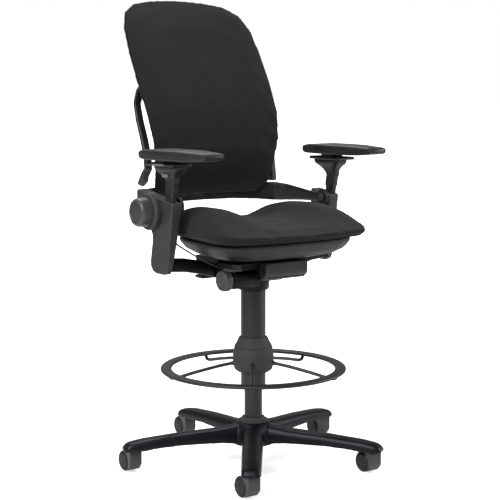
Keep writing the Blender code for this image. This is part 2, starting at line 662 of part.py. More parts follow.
# ---- Armrests --------------------------------------------------------------------------
def build_armrests():
    """Height-adjustable stems with buttons, sliding plates, turntables and pads."""
    for side, sign in SIDES:
        stem_body = f"arm_{side}"
        top = Vector((sign * STEM_X, stem_axis(0.700), 0.700))
        add_body(stem_body, top, "chassis")
        post = soften(stem_shape(STEM_WIDTH, STEM_DEPTH, STEM_BOTTOM, 0.790), 0.003, limit=60.0)
        mid = stem_axis(0.785)
        flare = loft([[Vector((STEM_X + sx * w, mid + dy + sy * d, z)) for sx, sy in
                       ((-1, -1), (1, -1), (1, 1), (-1, 1))]
                      for w, d, dy, z in ((0.0100, 0.0150, 0.004, 0.7550),
                                          (0.0130, 0.0240, 0.008, 0.7720),
                                          (0.0200, 0.0480, 0.012, 0.7860),
                                          (0.0220, 0.0520, 0.012, PLATFORM_Z - GAP))])
        stem = combine(post, flare, "UNION")
        cut_x = (STEM_X + 0.0095, STEM_X + 0.0300)
        slot = box(cut_x, (mid - 0.0020, mid + 0.0220), (0.7700, 0.7800))
        stem = combine(stem, slot, "DIFFERENCE")
        if sign < 0:
            mirrored(stem)
        add_piece(f"arm_stem_{side}", stem, stem_body, "grey_plastic")

        button_body = f"arm_button_{side}"
        face = Vector((sign * (STEM_X + 0.016), mid + 0.010, 0.775))
        add_body(button_body, face, stem_body)
        button = box((STEM_X + 0.0125, STEM_X + 0.0195), (mid - 0.0012, mid + 0.0212),
                     (0.7705, 0.7795), 0.0012)
        if sign < 0:
            mirrored(button)
        add_piece(f"arm_button_{side}", button, button_body, "grey_plastic")

        slider_body = f"arm_slider_{side}"
        middle = mid + 0.012
        add_body(slider_body, (sign * PAD_X, middle, PLATFORM_Z), stem_body)
        plate = box((PAD_X - 0.030, PAD_X + 0.030), (middle - 0.062, middle + 0.062),
                    (PLATFORM_Z, PLATFORM_Z + 0.0085), 0.0025)
        if sign < 0:
            mirrored(plate)
        add_piece(f"arm_slider_{side}", plate, slider_body, "grey_plastic")

        turn_body = f"arm_turntable_{side}"
        z0 = PLATFORM_Z + 0.0085 + GAP
        add_body(turn_body, (sign * PAD_X, middle, z0), slider_body)
        disc = rod(0.0290, z0, z0 + 0.0060, 24)
        bmesh.ops.translate(disc, verts=disc.verts, vec=(sign * PAD_X, middle, 0))
        add_piece(f"arm_turntable_{side}", disc, turn_body, "black_plastic")

        pad_body = f"arm_pad_{side}"
        add_body(pad_body, (sign * PAD_X, middle, z0 + 0.0064), turn_body)
        add_piece(f"arm_pad_{side}", arm_pad(sign, z0 + 0.0064), pad_body, "soft_urethane", 50.0)


def arm_pad(sign, z_low):
    """A long pad with a bowed outer edge, narrower in front, thinner at both ends."""
    inner = [(-0.192, -0.0340), (-0.110, -0.0430), (-0.020, -0.0480), (0.060, -0.0430),
             (0.092, -0.0280)]
    outer = [(-0.192, 0.0230), (-0.110, 0.0400), (-0.020, 0.0490), (0.060, 0.0440),
             (0.092, 0.0290)]
    right = [(PAD_X + x, y) for y, x in outer]
    left = [(PAD_X + x, y) for y, x in reversed(inner)]
    outline = smooth_loop(right + [(PAD_X + 0.002, 0.100)] + left + [(PAD_X - 0.006, -0.197)], 2)

    def crown(y):
        return straight([(-0.197, PAD_TOP - 0.0035), (-0.06, PAD_TOP), (0.03, PAD_TOP),
                         (0.100, PAD_TOP - 0.0045)], y)

    def upper(_, y, t):
        return crown(y) - 0.009 * t**6

    def lower(_, y, t):
        base = straight([(-0.197, z_low + 0.0085), (-0.09, z_low), (0.045, z_low),
                         (0.100, z_low + 0.0075)], y)
        return base + 0.0060 * t**5

    bm = pillow(outline, (PAD_X, -0.045), upper, lower, (0.55, 0.86, 1.0),
                lambda x, y, z: Vector((sign * x, y, z)))
    return bm


# ---- Seat ------------------------------------------------------------------------------
def mirrored_outline(half, steps):
    """A closed smooth outline from its +X half, listed from the rear centre to the front."""
    other = [(-x, y) for x, y in reversed(half[1:-1])]
    return smooth_loop(half + other, steps)


def build_seat():
    """The sliding carriage, the pan with its cushion, and the depth lever."""
    add_body("carriage", (0, 0, CHASSIS_TOP), "chassis")
    rails = box((0.086, 0.114), (-0.050, 0.100), (CHASSIS_TOP + GAP, SEAT_PAN_BOTTOM - GAP))
    rails = combine(rails, box((-0.114, -0.086), (-0.005, 0.100),
                               (CHASSIS_TOP + GAP, SEAT_PAN_BOTTOM - GAP)), "UNION")
    bridge = box((-0.090, 0.090), (-0.0050, 0.080), (0.5425, 0.5500))
    rails = combine(rails, bridge, "UNION")
    add_piece("seat_carriage", rails, "carriage", "black_paint")

    add_body("seat", (0, 0, SEAT_PAN_BOTTOM), "carriage")
    pan_half = [(0, 0.128), (0.110, 0.124), (0.168, 0.095), (0.192, 0.010), (0.206, -0.090),
                (0.200, -0.155), (0.145, -0.188), (0, -0.198)]
    outline = mirrored_outline(pan_half, 2)

    def pan_under(_, __, t):
        return straight([(0.38, SEAT_PAN_BOTTOM), (0.62, 0.5595), (0.81, 0.5670), (0.93, 0.5800),
                         (1.0, 0.5980)], t)

    pan = pillow(outline, (0, -0.035), lambda u, v, t: SEAT_PAN_TOP, pan_under,
                 (0.38, 0.62, 0.81, 0.93, 1.0), lambda x, y, z: Vector((x, y, z)))
    add_piece("seat_pan", pan, "seat", "black_plastic", 50.0)

    half = [(0, 0.152), (0.110, 0.152), (0.170, 0.133), (0.203, 0.080), (0.217, 0.010),
            (0.2235, -0.055), (0.2345, -0.115), (0.2355, -0.170), (0.208, -0.212), (0.140, -0.232),
            (0, -0.240)]
    cushion = pillow(mirrored_outline(half, 2), (0, -0.040), seat_top, seat_under,
                     (0.30, 0.56, 0.78, 0.91, 0.975, 1.0), lambda x, y, z: Vector((x, y, z)))
    add_piece("seat_cushion", cushion, "seat", "black_fabric", 60.0)

    add_body("depth_lever", (-0.154, -0.142, 0.5560), "seat")
    lever = box((-0.182, -0.150), (-0.1620, -0.1240), (0.5435, 0.5490), 0.0018)
    neck = box((-0.158, -0.151), (-0.1560, -0.1300), (0.5460, 0.5575))
    lever = combine(lever, neck, "UNION")
    add_piece("depth_lever", lever, "depth_lever", "black_plastic")


def seat_top(x, y, t):
    """Height of the seat's upper surface: a dished middle, side bolsters and a falling front."""
    side = blend([(0.03, 0.0), (0.16, 1.0)], abs(x))
    bolster = 0.032 * side * blend([(-0.28, 0.0), (-0.02, 1.0)], y)
    front = -0.018 * blend([(0.08, 0.0), (0.22, 1.0)], -y)
    rear = -0.012 * blend([(0.11, 0.0), (0.17, 1.0)], y)
    crown = 0.6565 + bolster + front + rear
    rim = 0.6340
    return rim + (crown - rim) * math.sqrt(max(0.0, 1.0 - t**8))


def seat_under(x, y, t):
    """Height of the seat's underside: flat on the pan, turned up at the rim."""
    return straight([(0.82, SEAT_PAN_TOP + GAP), (0.93, 0.6130), (0.975, 0.6190), (1.0, 0.6340)], t)


# ---- Back ------------------------------------------------------------------------------
BACK_EDGE = [(0.700, 0.186), (0.760, 0.167), (0.830, 0.152), (0.900, 0.165), (0.980, 0.203),
             (1.100, 0.270), (1.230, 0.338)]
BACK_HALF_WIDTH = 0.219


def back_surface(x, z):
    """Y of the sheet between padding and shell: an S-curve in height, wrapped around the sitter."""
    return straight(BACK_EDGE, z) + BACK_WRAP * (1.0 - min(1.0, (x / BACK_HALF_WIDTH) ** 2))


def build_back():
    """The padded back and its shell."""
    add_body("back", (0, PIVOT_Y, PIVOT_Z), "chassis")
    half = [(0, 1.2300), (0.080, 1.2270), (0.145, 1.2165), (0.187, 1.1920), (0.207, 1.1480),
            (0.2140, 1.0800), (0.2160, 1.0100), (0.2115, 0.9200), (0.2030, 0.8500),
            (0.1925, 0.7800), (0.1840, 0.7260), (0.1500, 0.7040), (0.080, 0.7030), (0, 0.7040)]
    outline = mirrored_outline(half, 1)
    levels = (0.28, 0.52, 0.74, 0.90, 1.0)

    def place(x, z, depth):
        return Vector((x, back_surface(x, z) + depth, z))

    padding = pillow(outline, (0, 0.960), lambda x, z, t: -0.0080 - (BACK_PADDING - 0.008)
                     * math.sqrt(1.0 - t**4), lambda x, z, t: 0.0, levels, place)
    add_piece("back_cushion", padding, "back", "black_fabric", 60.0)
    rear = 0.0010
    shell = pillow(outline, (0, 0.960), lambda x, z, t: rear,
                   lambda x, z, t: rear + SHELL_THICKNESS - 0.005 * t**4, levels, place)
    add_piece("back_shell", shell, "back", "black_plastic", 60.0)

    build_back_frame(rear + SHELL_THICKNESS + GAP)


def build_back_frame(clear):
    """The yoke behind the shell's foot and the two slim uprights that stand on it."""
    half_thickness = 0.0038
    arm = [(0.2318, PIVOT_Y + 0.010, 0.6965), (0.2318, 0.060, 0.6980), (0.2310, 0.105, 0.7000),
           (0.2230, 0.150, 0.7020), (0.2080, 0.1850, 0.7030)]
    wrap = [(x, back_surface(x, 0.712) + clear + 0.0060, 0.7045) for x in (0.168, 0.100, 0.0)]
    left = [Vector(p) for p in arm + wrap]
    path = left + [Vector((-p.x, p.y, p.z)) for p in reversed(left[:-1])]
    heights = [0.0130, 0.0150, 0.0190, 0.0240, 0.0270, 0.0250, 0.0210, 0.0200]
    heights = heights + list(reversed(heights[:-1]))
    yoke = sweep(path, [(h, half_thickness) for h in heights], Vector((0, 0, 1)), 8, 0.5)
    for _, sign in SIDES:
        boss = along_x(rod(0.0230, 0.2274, 0.2361, 16), 0, PIVOT_Y, PIVOT_Z, sign)
        yoke = combine(yoke, boss, "UNION")
        hole = along_x(rod(PIN_RADIUS + GAP, 0.2000, 0.2600, 12), 0, PIVOT_Y, PIVOT_Z, sign)
        yoke = combine(yoke, hole, "DIFFERENCE")
    add_piece("back_yoke", yoke, "back", "black_plastic")

    foot = {"left": [(0.2035, 0.1900, 0.7330), (0.2025, 0.1900, 0.7600)],
            "right": [(0.2440, 0.1500, 0.7480), (0.2330, 0.1600, 0.7630)]}
    stalk = [(0.2020, 0.1915, 0.7800), (0.2010, 0.1960, 0.8100), (0.1995, 0.2120, 0.8500),
             (0.1985, 0.2380, 0.9060), (0.1960, 0.2540, 0.9480), (0.1900, 0.2500, 0.9820),
             (0.1830, 0.2375, 1.0000)]
    for side, sign in SIDES:
        route = [Vector(p) for p in foot[side] + stalk]
        first, second = (0.0110, 0.0085) if side == "left" else (0.0180, 0.0160)
        sizes = [(0.0110, first), (0.0110, second), (0.0110, 0.0075), (0.0110, 0.0070),
                 (0.0110, 0.0065), (0.0110, 0.0058), (0.0110, 0.0052), (0.0110, 0.0048),
                 (0.0110, 0.0045)]
        band = sweep(route, sizes, Vector((1, 0, 0)), 8, 0.5)
        if sign < 0:
            mirrored(band)
        add_piece(f"back_upright_{side}", band, "back", "grey_plastic")


# ---- Assembly --------------------------------------------------------------------------
def main():
    for old in list(bpy.data.objects):
        bpy.data.objects.remove(old)
    add_body("base", (0, 0, 0))
    build_base()
    build_casters()
    build_column()
    build_foot_ring()
    build_mechanism()
    build_uprights()
    build_armrests()
    build_seat()
    build_back()


main()
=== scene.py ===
"""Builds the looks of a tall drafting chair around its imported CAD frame."""
import json
import math

import bmesh
import bpy
from bpy.props import FloatProperty, FloatVectorProperty, IntProperty, PointerProperty
from mathutils import Matrix, Vector


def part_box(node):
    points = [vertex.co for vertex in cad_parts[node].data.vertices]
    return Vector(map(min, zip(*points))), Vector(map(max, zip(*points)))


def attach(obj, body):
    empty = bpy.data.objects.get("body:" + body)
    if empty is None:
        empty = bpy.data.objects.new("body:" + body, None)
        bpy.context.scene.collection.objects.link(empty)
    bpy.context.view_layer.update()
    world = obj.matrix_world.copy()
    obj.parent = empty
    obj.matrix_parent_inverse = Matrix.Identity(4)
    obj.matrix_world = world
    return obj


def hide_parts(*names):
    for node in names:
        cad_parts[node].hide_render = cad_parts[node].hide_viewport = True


bl_info = {
    "name": "Drafting Chair",
    "version": (1, 0, 0),
    "blender": (4, 5, 0),
    "location": "View3D > Sidebar > Chair",
    "description": "Builds a tall drafting chair with a foot ring around its CAD frame",
    "category": "Object",
}

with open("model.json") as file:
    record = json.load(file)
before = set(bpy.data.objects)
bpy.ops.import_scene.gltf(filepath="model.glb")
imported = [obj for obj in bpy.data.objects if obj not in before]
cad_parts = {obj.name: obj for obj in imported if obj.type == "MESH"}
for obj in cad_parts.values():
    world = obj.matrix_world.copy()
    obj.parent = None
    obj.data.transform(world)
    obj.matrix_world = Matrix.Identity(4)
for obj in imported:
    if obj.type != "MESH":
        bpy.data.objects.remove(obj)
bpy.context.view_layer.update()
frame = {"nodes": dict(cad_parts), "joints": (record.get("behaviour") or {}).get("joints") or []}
NODES = frame["nodes"]
JOINTS = {j["name"]: j for j in frame["joints"]}
COLUMN = Vector(JOINTS["seat_swivel"]["pos_m"])
SHIFT = Vector((0.0, COLUMN.y, 0.0))      # shapes are drawn about the column, then moved by this
SIDES = (("right", -1), ("left", 1))
ARM_COUNT = 5
MIRROR = Matrix.Diagonal((-1.0, 1.0, 1.0, 1.0))
RIGHT, UP, DOWN = (-1, 0, 0), Vector((0, 0, 1)), (0, 0, -1)
ACROSS = Vector((0, 1, 0))
EVERY_ANGLE = 180.0                       # sharpness limit of a piece with no sharp edge at all


# ---- Sizes and colours that a user would change ----------------------------------------------
def colour(name, description, default):
    return FloatVectorProperty(name=name, description=description, default=default,
                               subtype="COLOR", size=3, min=0.0, max=1.0)


def amount(name, description, default, high, low=0.0):
    return FloatProperty(name=name, description=description, default=default, min=low, max=high)


def length(name, description, default, low=0.0, high=1.0):
    return FloatProperty(name=name, description=description, default=default, min=low,
                         max=high, subtype="DISTANCE", unit="LENGTH", precision=4)


class StageSettings(bpy.types.PropertyGroup):
    """Floor, lights and camera"""
    floor_colour: colour("Floor", "Colour of the floor", (0.90, 0.90, 0.90))
    world_strength: amount("Sky", "Brightness of the pale surroundings", 0.30, 10.0)
    floor_glow: amount("Floor Glow", "Extra brightness of the floor where it is seen", 0.60, 5.0)
    key_power: amount("Key Light", "Power of the main softbox, in watts", 150.0, 2000.0)
    fill_power: amount("Fill Light", "Power of the side softbox, in watts", 55.0, 2000.0)
    lens: amount("Lens", "Focal length of the camera, in millimetres", 96.79, 300.0, 10.0)


class UpholsterySettings(bpy.types.PropertyGroup):
    """Fabric of the seat and back"""
    seat_colour: colour("Seat Fabric", "Colour of the seat's cloth", (0.0085, 0.0085, 0.0088))
    back_colour: colour("Back Fabric", "Colour of the back's cloth", (0.0090, 0.0090, 0.0094))
    thread_pitch: length("Thread Pitch", "Distance from one thread to the next", 0.0016,
                         0.0005, 0.01)
    swell: length("Swell", "How far the padding may rise under its cover", 0.007, 0.0, 0.03)
    cloth_steps: IntProperty(name="Cloth Steps", description="Steps of the padding's simulation",
                             default=18, min=1, max=60)


class PlasticSettings(bpy.types.PropertyGroup):
    """Moulded plastic parts"""
    shell_colour: colour("Arm Shell", "Colour of the armrest uprights and stems",
                         (0.0165, 0.0175, 0.0178))
    trim_colour: colour("Trim", "Colour of the covers, pan and back shell",
                        (0.0080, 0.0080, 0.0086))
    pad_colour: colour("Arm Pad", "Colour of the soft arm pads", (0.0085, 0.0085, 0.0098))
    edge_round: length("Edge Rounding", "Radius of a moulded part's edges", 0.0012, 0.0, 0.005)


class PaintSettings(bpy.types.PropertyGroup):
    """Painted metal parts"""
    base_colour: colour("Base Paint", "Colour of the five-arm base", (0.0095, 0.0098, 0.0108))
    column_colour: colour("Column Paint", "Colour of the column and foot ring",
                          (0.0060, 0.0064, 0.0076))
    wear: amount("Edge Wear", "How much the paint is rubbed at its edges", 0.30, 1.0)


# ---- Shared effects as node groups -----------------------------------------------------------
class Tree:
    """Small helper that adds and joins nodes of one node tree."""

    def __init__(self, tree):
        self.tree = tree

    def add(self, kind, settings=None, **inputs):
        node = self.tree.nodes.new(kind)
        for key, value in (settings or {}).items():
            setattr(node, key, value)
        for key, value in inputs.items():
            self.feed(node.inputs[int(key[1:])], value)
        return node

    def feed(self, socket, value):
        if isinstance(value, bpy.types.NodeSocket):
            self.tree.links.new(value, socket)
        else:
            socket.default_value = value

    def math(self, operation, *values, clamp=False):
        node = self.tree.nodes.new("ShaderNodeMath")
        node.operation = operation
        node.use_clamp = clamp
        for socket, value in zip(node.inputs, values):
            self.feed(socket, value)
        return node.outputs[0]

    def plus(self, a, b, clamp=False):
        return self.math("ADD", a, b, clamp=clamp)

    def times(self, a, b, clamp=False):
        return self.math("MULTIPLY", a, b, clamp=clamp)

    def mix(self, factor, a, b):
        node = self.tree.nodes.new("ShaderNodeMix")
        node.data_type = "RGBA"
        for socket, value in zip((node.inputs[0], node.inputs[6], node.inputs[7]), (factor, a, b)):
            self.feed(socket, value)
        return node.outputs[2]

    def noise(self, vector, scale, detail=2.0, roughness=0.5):
        node = self.add("ShaderNodeTexNoise", None, _0=vector, _2=scale, _3=detail, _4=roughness)
        return node.outputs[0]

    def span(self, value, low, high, to_low=0.0, to_high=1.0):
        return self.add("ShaderNodeMapRange", None, _0=value, _1=low, _2=high, _3=to_low,
                        _4=to_high).outputs[0]


def group(name, inputs, outputs):
    """A new shader node group with named sockets: (its tree, inputs by name, output node)."""
    tree = bpy.data.node_groups.new(name, "ShaderNodeTree")
    kinds = {"float": "NodeSocketFloat", "colour": "NodeSocketColor", "vector": "NodeSocketVector"}
    for label, kind, default in inputs:
        socket = tree.interface.new_socket(name=label, in_out="INPUT", socket_type=kinds[kind])
        socket.default_value = default
    for label, kind in outputs:
        tree.interface.new_socket(name=label, in_out="OUTPUT", socket_type=kinds[kind])
    made = Tree(tree)
    entry = made.add("NodeGroupInput")
    return made, entry.outputs, made.add("NodeGroupOutput").inputs


WHITE = (1.0, 1.0, 1.0, 1.0)


def make_grain_group():
    """Moulded or sprayed surface: fine pebbles, slow unevenness and changing gloss."""
    t, given, out = group("Fine Grain", (("Scale", "float", 900.0), ("Smooth", "float", 0.4),
                                         ("Rough", "float", 0.6)),
                          (("Roughness", "float"), ("Height", "float"), ("Cloud", "float")))
    place = t.add("ShaderNodeTexCoord").outputs["Object"]
    pebbles = t.add("ShaderNodeTexVoronoi", {"feature": "SMOOTH_F1"}, _0=place,
                    _2=given["Scale"]).outputs[0]
    fine = t.noise(place, t.times(given["Scale"], 0.45), detail=3.0, roughness=0.6)
    cloud = t.noise(place, scale=14.0, detail=4.0, roughness=0.55)
    blend = t.plus(t.times(cloud, 0.65), t.times(fine, 0.35))
    spread = t.math("SUBTRACT", given["Rough"], given["Smooth"])
    level = t.times(t.span(blend, low=0.32, high=0.68), spread)
    t.feed(out["Roughness"], t.plus(given["Smooth"], level))
    t.feed(out["Height"], t.plus(t.times(pebbles, 0.7), t.times(fine, 0.3)))
    t.feed(out["Cloud"], cloud)


def make_wear_group():
    """Rubbed edges: the colour turns to the worn one where the surface bends sharply."""
    t, given, out = group("Edge Wear", (("Color", "colour", WHITE), ("Worn Color", "colour", WHITE),
                                        ("Amount", "float", 0.3)),
                          (("Color", "colour"), ("Mask", "float")))
    geometry = t.add("ShaderNodeNewGeometry").outputs
    place = t.add("ShaderNodeTexCoord").outputs["Object"]
    sharp = t.span(geometry["Pointiness"], low=0.53, high=0.66)
    broken = t.span(t.noise(place, scale=90.0, detail=4.0, roughness=0.7), low=0.42, high=0.62)
    mask = t.times(t.times(sharp, broken), given["Amount"], clamp=True)
    t.feed(out["Color"], t.mix(mask, given["Color"], given["Worn Color"]))
    t.feed(out["Mask"], mask)


def make_dust_group():
    """A faint pale film on surfaces that look up, gathered in soft patches."""
    t, given, out = group("Dust", (("Color", "colour", WHITE), ("Dust Color", "colour", WHITE),
                                   ("Amount", "float", 0.05)),
                          (("Color", "colour"), ("Mask", "float")))
    geometry = t.add("ShaderNodeNewGeometry").outputs
    place = t.add("ShaderNodeTexCoord").outputs["Object"]
    up = t.add("ShaderNodeSeparateXYZ", None, _0=geometry["Normal"]).outputs[2]
    level = t.span(up, low=0.25, high=1.0)
    patches = t.span(t.noise(place, scale=22.0, detail=5.0, roughness=0.65), low=0.38, high=0.72,
                     to_low=0.35)
    specks = t.span(t.noise(place, scale=1500.0, detail=1.0), low=0.62, high=0.74, to_high=1.5)
    soft = t.plus(patches, t.times(specks, 0.4))
    mask = t.times(t.times(level, soft), given["Amount"], clamp=True)
    t.feed(out["Color"], t.mix(mask, given["Color"], given["Dust Color"]))
    t.feed(out["Mask"], mask)


def make_weave_group():
    """Plain weave: two sets of threads that pass over and under, with slubs and fuzz. Its colour is
    painted darker where the threads dip under each other, a painted shade between the threads.
    """
    t, given, out = group("Weave", (("Across", "float", 0.0), ("Along", "float", 0.0),
                                    ("Pitch", "float", 0.0016), ("Color", "colour", WHITE),
                                    ("Thread Color", "colour", WHITE)),
                          (("Color", "colour"), ("Height", "float"), ("Roughness", "float")))
    place = t.add("ShaderNodeTexCoord").outputs["Object"]
    waver = t.times(t.math("SUBTRACT", t.noise(place, scale=60.0), 0.5), 0.0012)
    turn = t.math("DIVIDE", math.pi, given["Pitch"])
    across = t.times(t.plus(given["Across"], waver), turn)
    along = t.times(t.math("SUBTRACT", given["Along"], waver), turn)
    warp = t.math("ABSOLUTE", t.math("SINE", across))
    weft = t.math("ABSOLUTE", t.math("SINE", along))
    over = t.span(t.times(t.math("COSINE", across), t.math("COSINE", along)),
                  low=-0.15, high=0.15)
    height = t.plus(t.times(over, warp), t.times(t.math("SUBTRACT", 1.0, over), weft))
    slub = t.noise(place, scale=240.0, detail=3.0, roughness=0.6)
    nap = t.noise(place, scale=1400.0, roughness=0.6)
    height = t.plus(t.times(height, 0.75), t.times(slub, 0.25))
    cloud = t.noise(place, scale=9.0, detail=3.0)
    # painted shade: the colour follows the threads' height, darker in the dips between threads and
    # lighter on their crowns; the slubs, nap and cloud add the cloth's own uneven tone
    tone = t.plus(t.times(height, 0.55), t.times(nap, 0.30))
    tone = t.plus(tone, t.times(cloud, 0.35))
    t.feed(out["Color"], t.mix(t.span(tone, low=0.28, high=0.95), given["Color"],
                               given["Thread Color"]))
    t.feed(out["Height"], height)
    t.feed(out["Roughness"], t.span(nap, low=0.3, high=0.7, to_low=0.82, to_high=0.97))


# ---- Materials -------------------------------------------------------------------------------
DUST = (0.20, 0.20, 0.21, 1.0)
LINT = (0.16, 0.16, 0.17, 1.0)
FUZZ = (0.62, 0.63, 0.66, 1.0)
THREAD_DEPTH = 0.0006
SEAT_MIDDLE = -0.08                # the seat's middle along Y, where its threads turn down


def start_material(name):
    material = bpy.data.materials.new(name)
    material.use_nodes = True
    t = Tree(material.node_tree)
    return material, t, material.node_tree.nodes["Principled BSDF"]


def place_group(t, name, **values):
    node = t.add("ShaderNodeGroup", {"node_tree": bpy.data.node_groups[name]})
    for key, value in values.items():
        t.feed(node.inputs[key.replace("_", " ")], value)
    return node.outputs


def rgba(value, gain=1.0):
    return (*(min(1.0, c * gain) for c in value), 1.0)


def preset(shader, **values):
    """Set a shader's plain values; an underscore stands for a space in a socket's name."""
    for key, value in values.items():
        shader.inputs[key.replace("_", " ")].default_value = value


def raise_surface(t, shader, height, strength, depth):
    """Let a height pattern bend the light, as deep as the pattern is on the real surface."""
    bump = t.add("ShaderNodeBump")
    preset(bump, Strength=strength, Distance=depth)
    t.feed(bump.inputs["Height"], height)
    t.feed(shader.inputs["Normal"], bump.outputs[0])


def moulded_plastic(name, base, smooth, rough, grain, depth, worn=2.2, wear=0.25, dust=0.03,
                    metallic=0.0, coat=0.0, specular=0.36):
    """Plastic or paint with its own grain, gloss, rubbed edges and a little dust."""
    material, t, shader = start_material(name)
    surface = place_group(t, "Fine Grain", Scale=grain, Smooth=smooth, Rough=rough)
    tint = t.mix(t.span(surface["Cloud"], low=0.35, high=0.65), rgba(base, 0.86),
                 rgba(base, 1.16))
    edge = place_group(t, "Edge Wear", Color=tint, Worn_Color=rgba(base, worn), Amount=wear)
    film = place_group(t, "Dust", Color=edge["Color"], Dust_Color=DUST, Amount=dust)
    t.feed(shader.inputs["Base Color"], film["Color"])
    dull = t.plus(surface["Roughness"], t.times(film["Mask"], 0.8), clamp=True)
    t.feed(shader.inputs["Roughness"], dull)
    preset(shader, Metallic=metallic, Coat_Weight=coat, Coat_Roughness=0.22,
           Specular_IOR_Level=specular)
    raise_surface(t, shader, surface["Height"], 0.35, depth)
    return material


def woven_cloth(name, base, pitch, upright):
    """Upholstery cloth. The threads follow the panel, turned over its rim."""
    material, t, shader = start_material(name)
    place = t.add("ShaderNodeTexCoord").outputs["Object"]
    x, y, z = t.add("ShaderNodeSeparateXYZ", None, _0=place).outputs
    if upright:
        across = t.plus(t.math("ABSOLUTE", x), y)
        along = t.plus(z, t.times(y, 0.35))
    else:
        across = t.math("SUBTRACT", t.math("ABSOLUTE", x), z)
        along = t.math("SUBTRACT", t.math("ABSOLUTE", t.math("SUBTRACT", y, SEAT_MIDDLE)), z)
    # the darker colour is reached in the dips between the threads, a painted shade; the lighter one
    # on the thread crowns
    weave = place_group(t, "Weave", Across=across, Along=along, Pitch=pitch,
                        Color=rgba(base, 0.72), Thread_Color=rgba(base, 1.65))
    film = place_group(t, "Dust", Color=weave["Color"], Dust_Color=LINT, Amount=0.03)
    t.feed(shader.inputs["Base Color"], film["Color"])
    t.feed(shader.inputs["Roughness"], weave["Roughness"])
    preset(shader, Sheen_Weight=0.07, Sheen_Roughness=0.45, Sheen_Tint=FUZZ,
           Specular_IOR_Level=0.12)
    raise_surface(t, shader, weave["Height"], 0.55, THREAD_DEPTH)
    return material


def make_materials():
    scene = bpy.context.scene
    cloth, plastic, paint = scene.chair_upholstery, scene.chair_plastic, scene.chair_paint
    for make in (make_grain_group, make_wear_group, make_dust_group, make_weave_group):
        make()
    woven_cloth("seat_cloth", cloth.seat_colour, cloth.thread_pitch, False)
    woven_cloth("back_cloth", cloth.back_colour, cloth.thread_pitch, True)
    for name, base, smooth, rough, grain, depth, extra in (
            ("arm_shell_plastic", plastic.shell_colour, 0.40, 0.54, 1300, 0.00022, {}),
            ("trim_plastic", plastic.trim_colour, 0.38, 0.52, 1200, 0.00022, {}),
            ("pan_plastic", plastic.trim_colour, 0.46, 0.60, 1000, 0.00028, {}),
            ("knob_plastic", (0.0065, 0.0068, 0.0075), 0.30, 0.42, 1500, 0.00010, {}),
            ("knob_face_plastic", (0.026, 0.0275, 0.031), 0.34, 0.46, 1500, 0.00010, {}),
            ("button_plastic", (0.150, 0.150, 0.155), 0.34, 0.46, 1500, 0.00010, {}),
            ("cover_plastic", (0.0150, 0.0148, 0.0142), 0.34, 0.46, 1200, 0.00016, {}),
            ("stem_plastic", (0.0075, 0.0075, 0.0080), 0.36, 0.48, 1400, 0.00014, {}),
            ("pad_skin", plastic.pad_colour, 0.42, 0.56, 1700, 0.00016, {"wear": 0.10}),
            ("caster_plastic", (0.0050, 0.0050, 0.0053), 0.40, 0.54, 1300, 0.00012,
             {"dust": 0.008, "wear": 0.08}),
            ("tread_urethane", (0.0065, 0.0065, 0.0068), 0.46, 0.62, 900, 0.00020,
             {"dust": 0.010, "wear": 0.08}),
            ("bush_plastic", (0.16, 0.16, 0.16), 0.40, 0.55, 1200, 0.00012, {}),
            ("cable_sheath", (0.012, 0.012, 0.013), 0.30, 0.42, 1800, 0.00008, {}),
            ("base_paint", paint.base_colour, 0.30, 0.42, 1600, 0.00008,
             {"worn": 5.0, "wear": paint.wear, "coat": 0.15, "specular": 0.55}),
            ("column_paint", paint.column_colour, 0.22, 0.32, 1700, 0.00005,
             {"worn": 6.0, "wear": paint.wear, "coat": 0.10}),
            ("mechanism_paint", (0.0060, 0.0060, 0.0066), 0.26, 0.40, 1400, 0.00012,
             {"worn": 5.0, "wear": paint.wear}),
            ("ground_steel", (0.52, 0.53, 0.54), 0.18, 0.32, 1800, 0.00004,
             {"worn": 1.1, "metallic": 1.0, "dust": 0.0}),
            ("zinc_screw", (0.060, 0.060, 0.064), 0.26, 0.40, 1600, 0.00005,
             {"metallic": 0.8, "dust": 0.0})):
        moulded_plastic(name, base, smooth, rough, grain, depth, **extra)


# ---- Mesh helpers ----------------------------------------------------------------------------
def smooth_curve(points, steps):
    """Points of a Catmull-Rom curve through the given ones, as vectors."""
    points = [Vector(p) for p in points]
    points = [points[0] * 2 - points[1]] + points + [points[-1] * 2 - points[-2]]
    curve = []
    for p0, p1, p2, p3 in zip(points, points[1:], points[2:], points[3:]):
        for s in range(steps):
            t = s / steps
            curve.append(0.5 * (2 * p1 + (p2 - p0) * t + (2 * p0 - 5 * p1 + 4 * p2 - p3) * t**2
                                + (3 * p1 - p0 - 3 * p2 + p3) * t**3))
    return curve + [points[-2]]


def closed_curve(points, steps):
    """Points of a closed Catmull-Rom curve through the given ones, as vectors."""
    count = len(points)
    wrapped = [points[-1]] + list(points) + [points[0], points[1]]
    return smooth_curve(wrapped, steps)[steps:steps * (count + 1)]


def at(table, x):
    """Straight-line value of a table of (x, value)."""
    if x <= table[0][0]:
        return table[0][1]
    for (x0, y0), (x1, y1) in zip(table, table[1:]):
        if x <= x1:
            return y0 + (y1 - y0) * (x - x0) / (x1 - x0)
    return table[-1][1]


def ease(table, x):
    """Value of a table of (x, value) with soft turns at its rows."""
    if x <= table[0][0]:
        return table[0][1]
    for (x0, y0), (x1, y1) in zip(table, table[1:]):
        if x <= x1:
            t = (x - x0) / (x1 - x0)
            return y0 + (y1 - y0) * t * t * (3 - 2 * t)
    return table[-1][1]


def skin(rings, closed=False):
    """A closed shape over rings of equal count, capped at both ends unless it closes on itself."""
    bm = bmesh.new()
    rows = [[bm.verts.new(p) for p in ring] for ring in rings]
    count = len(rings[0])
    pairs = list(zip(rows, rows[1:])) + ([(rows[-1], rows[0])] if closed else [])
    for a, b in pairs:
        for i in range(count):
            j = (i + 1) % count
            bm.faces.new((a[i], a[j], b[j], b[i]))
    if not closed:
        for row in (rows[0], rows[-1]):
            middle = bm.verts.new(sum((v.co for v in row), Vector()) / count)
            for i in range(count):
                bm.faces.new((row[i], row[(i + 1) % count], middle))
    return bm


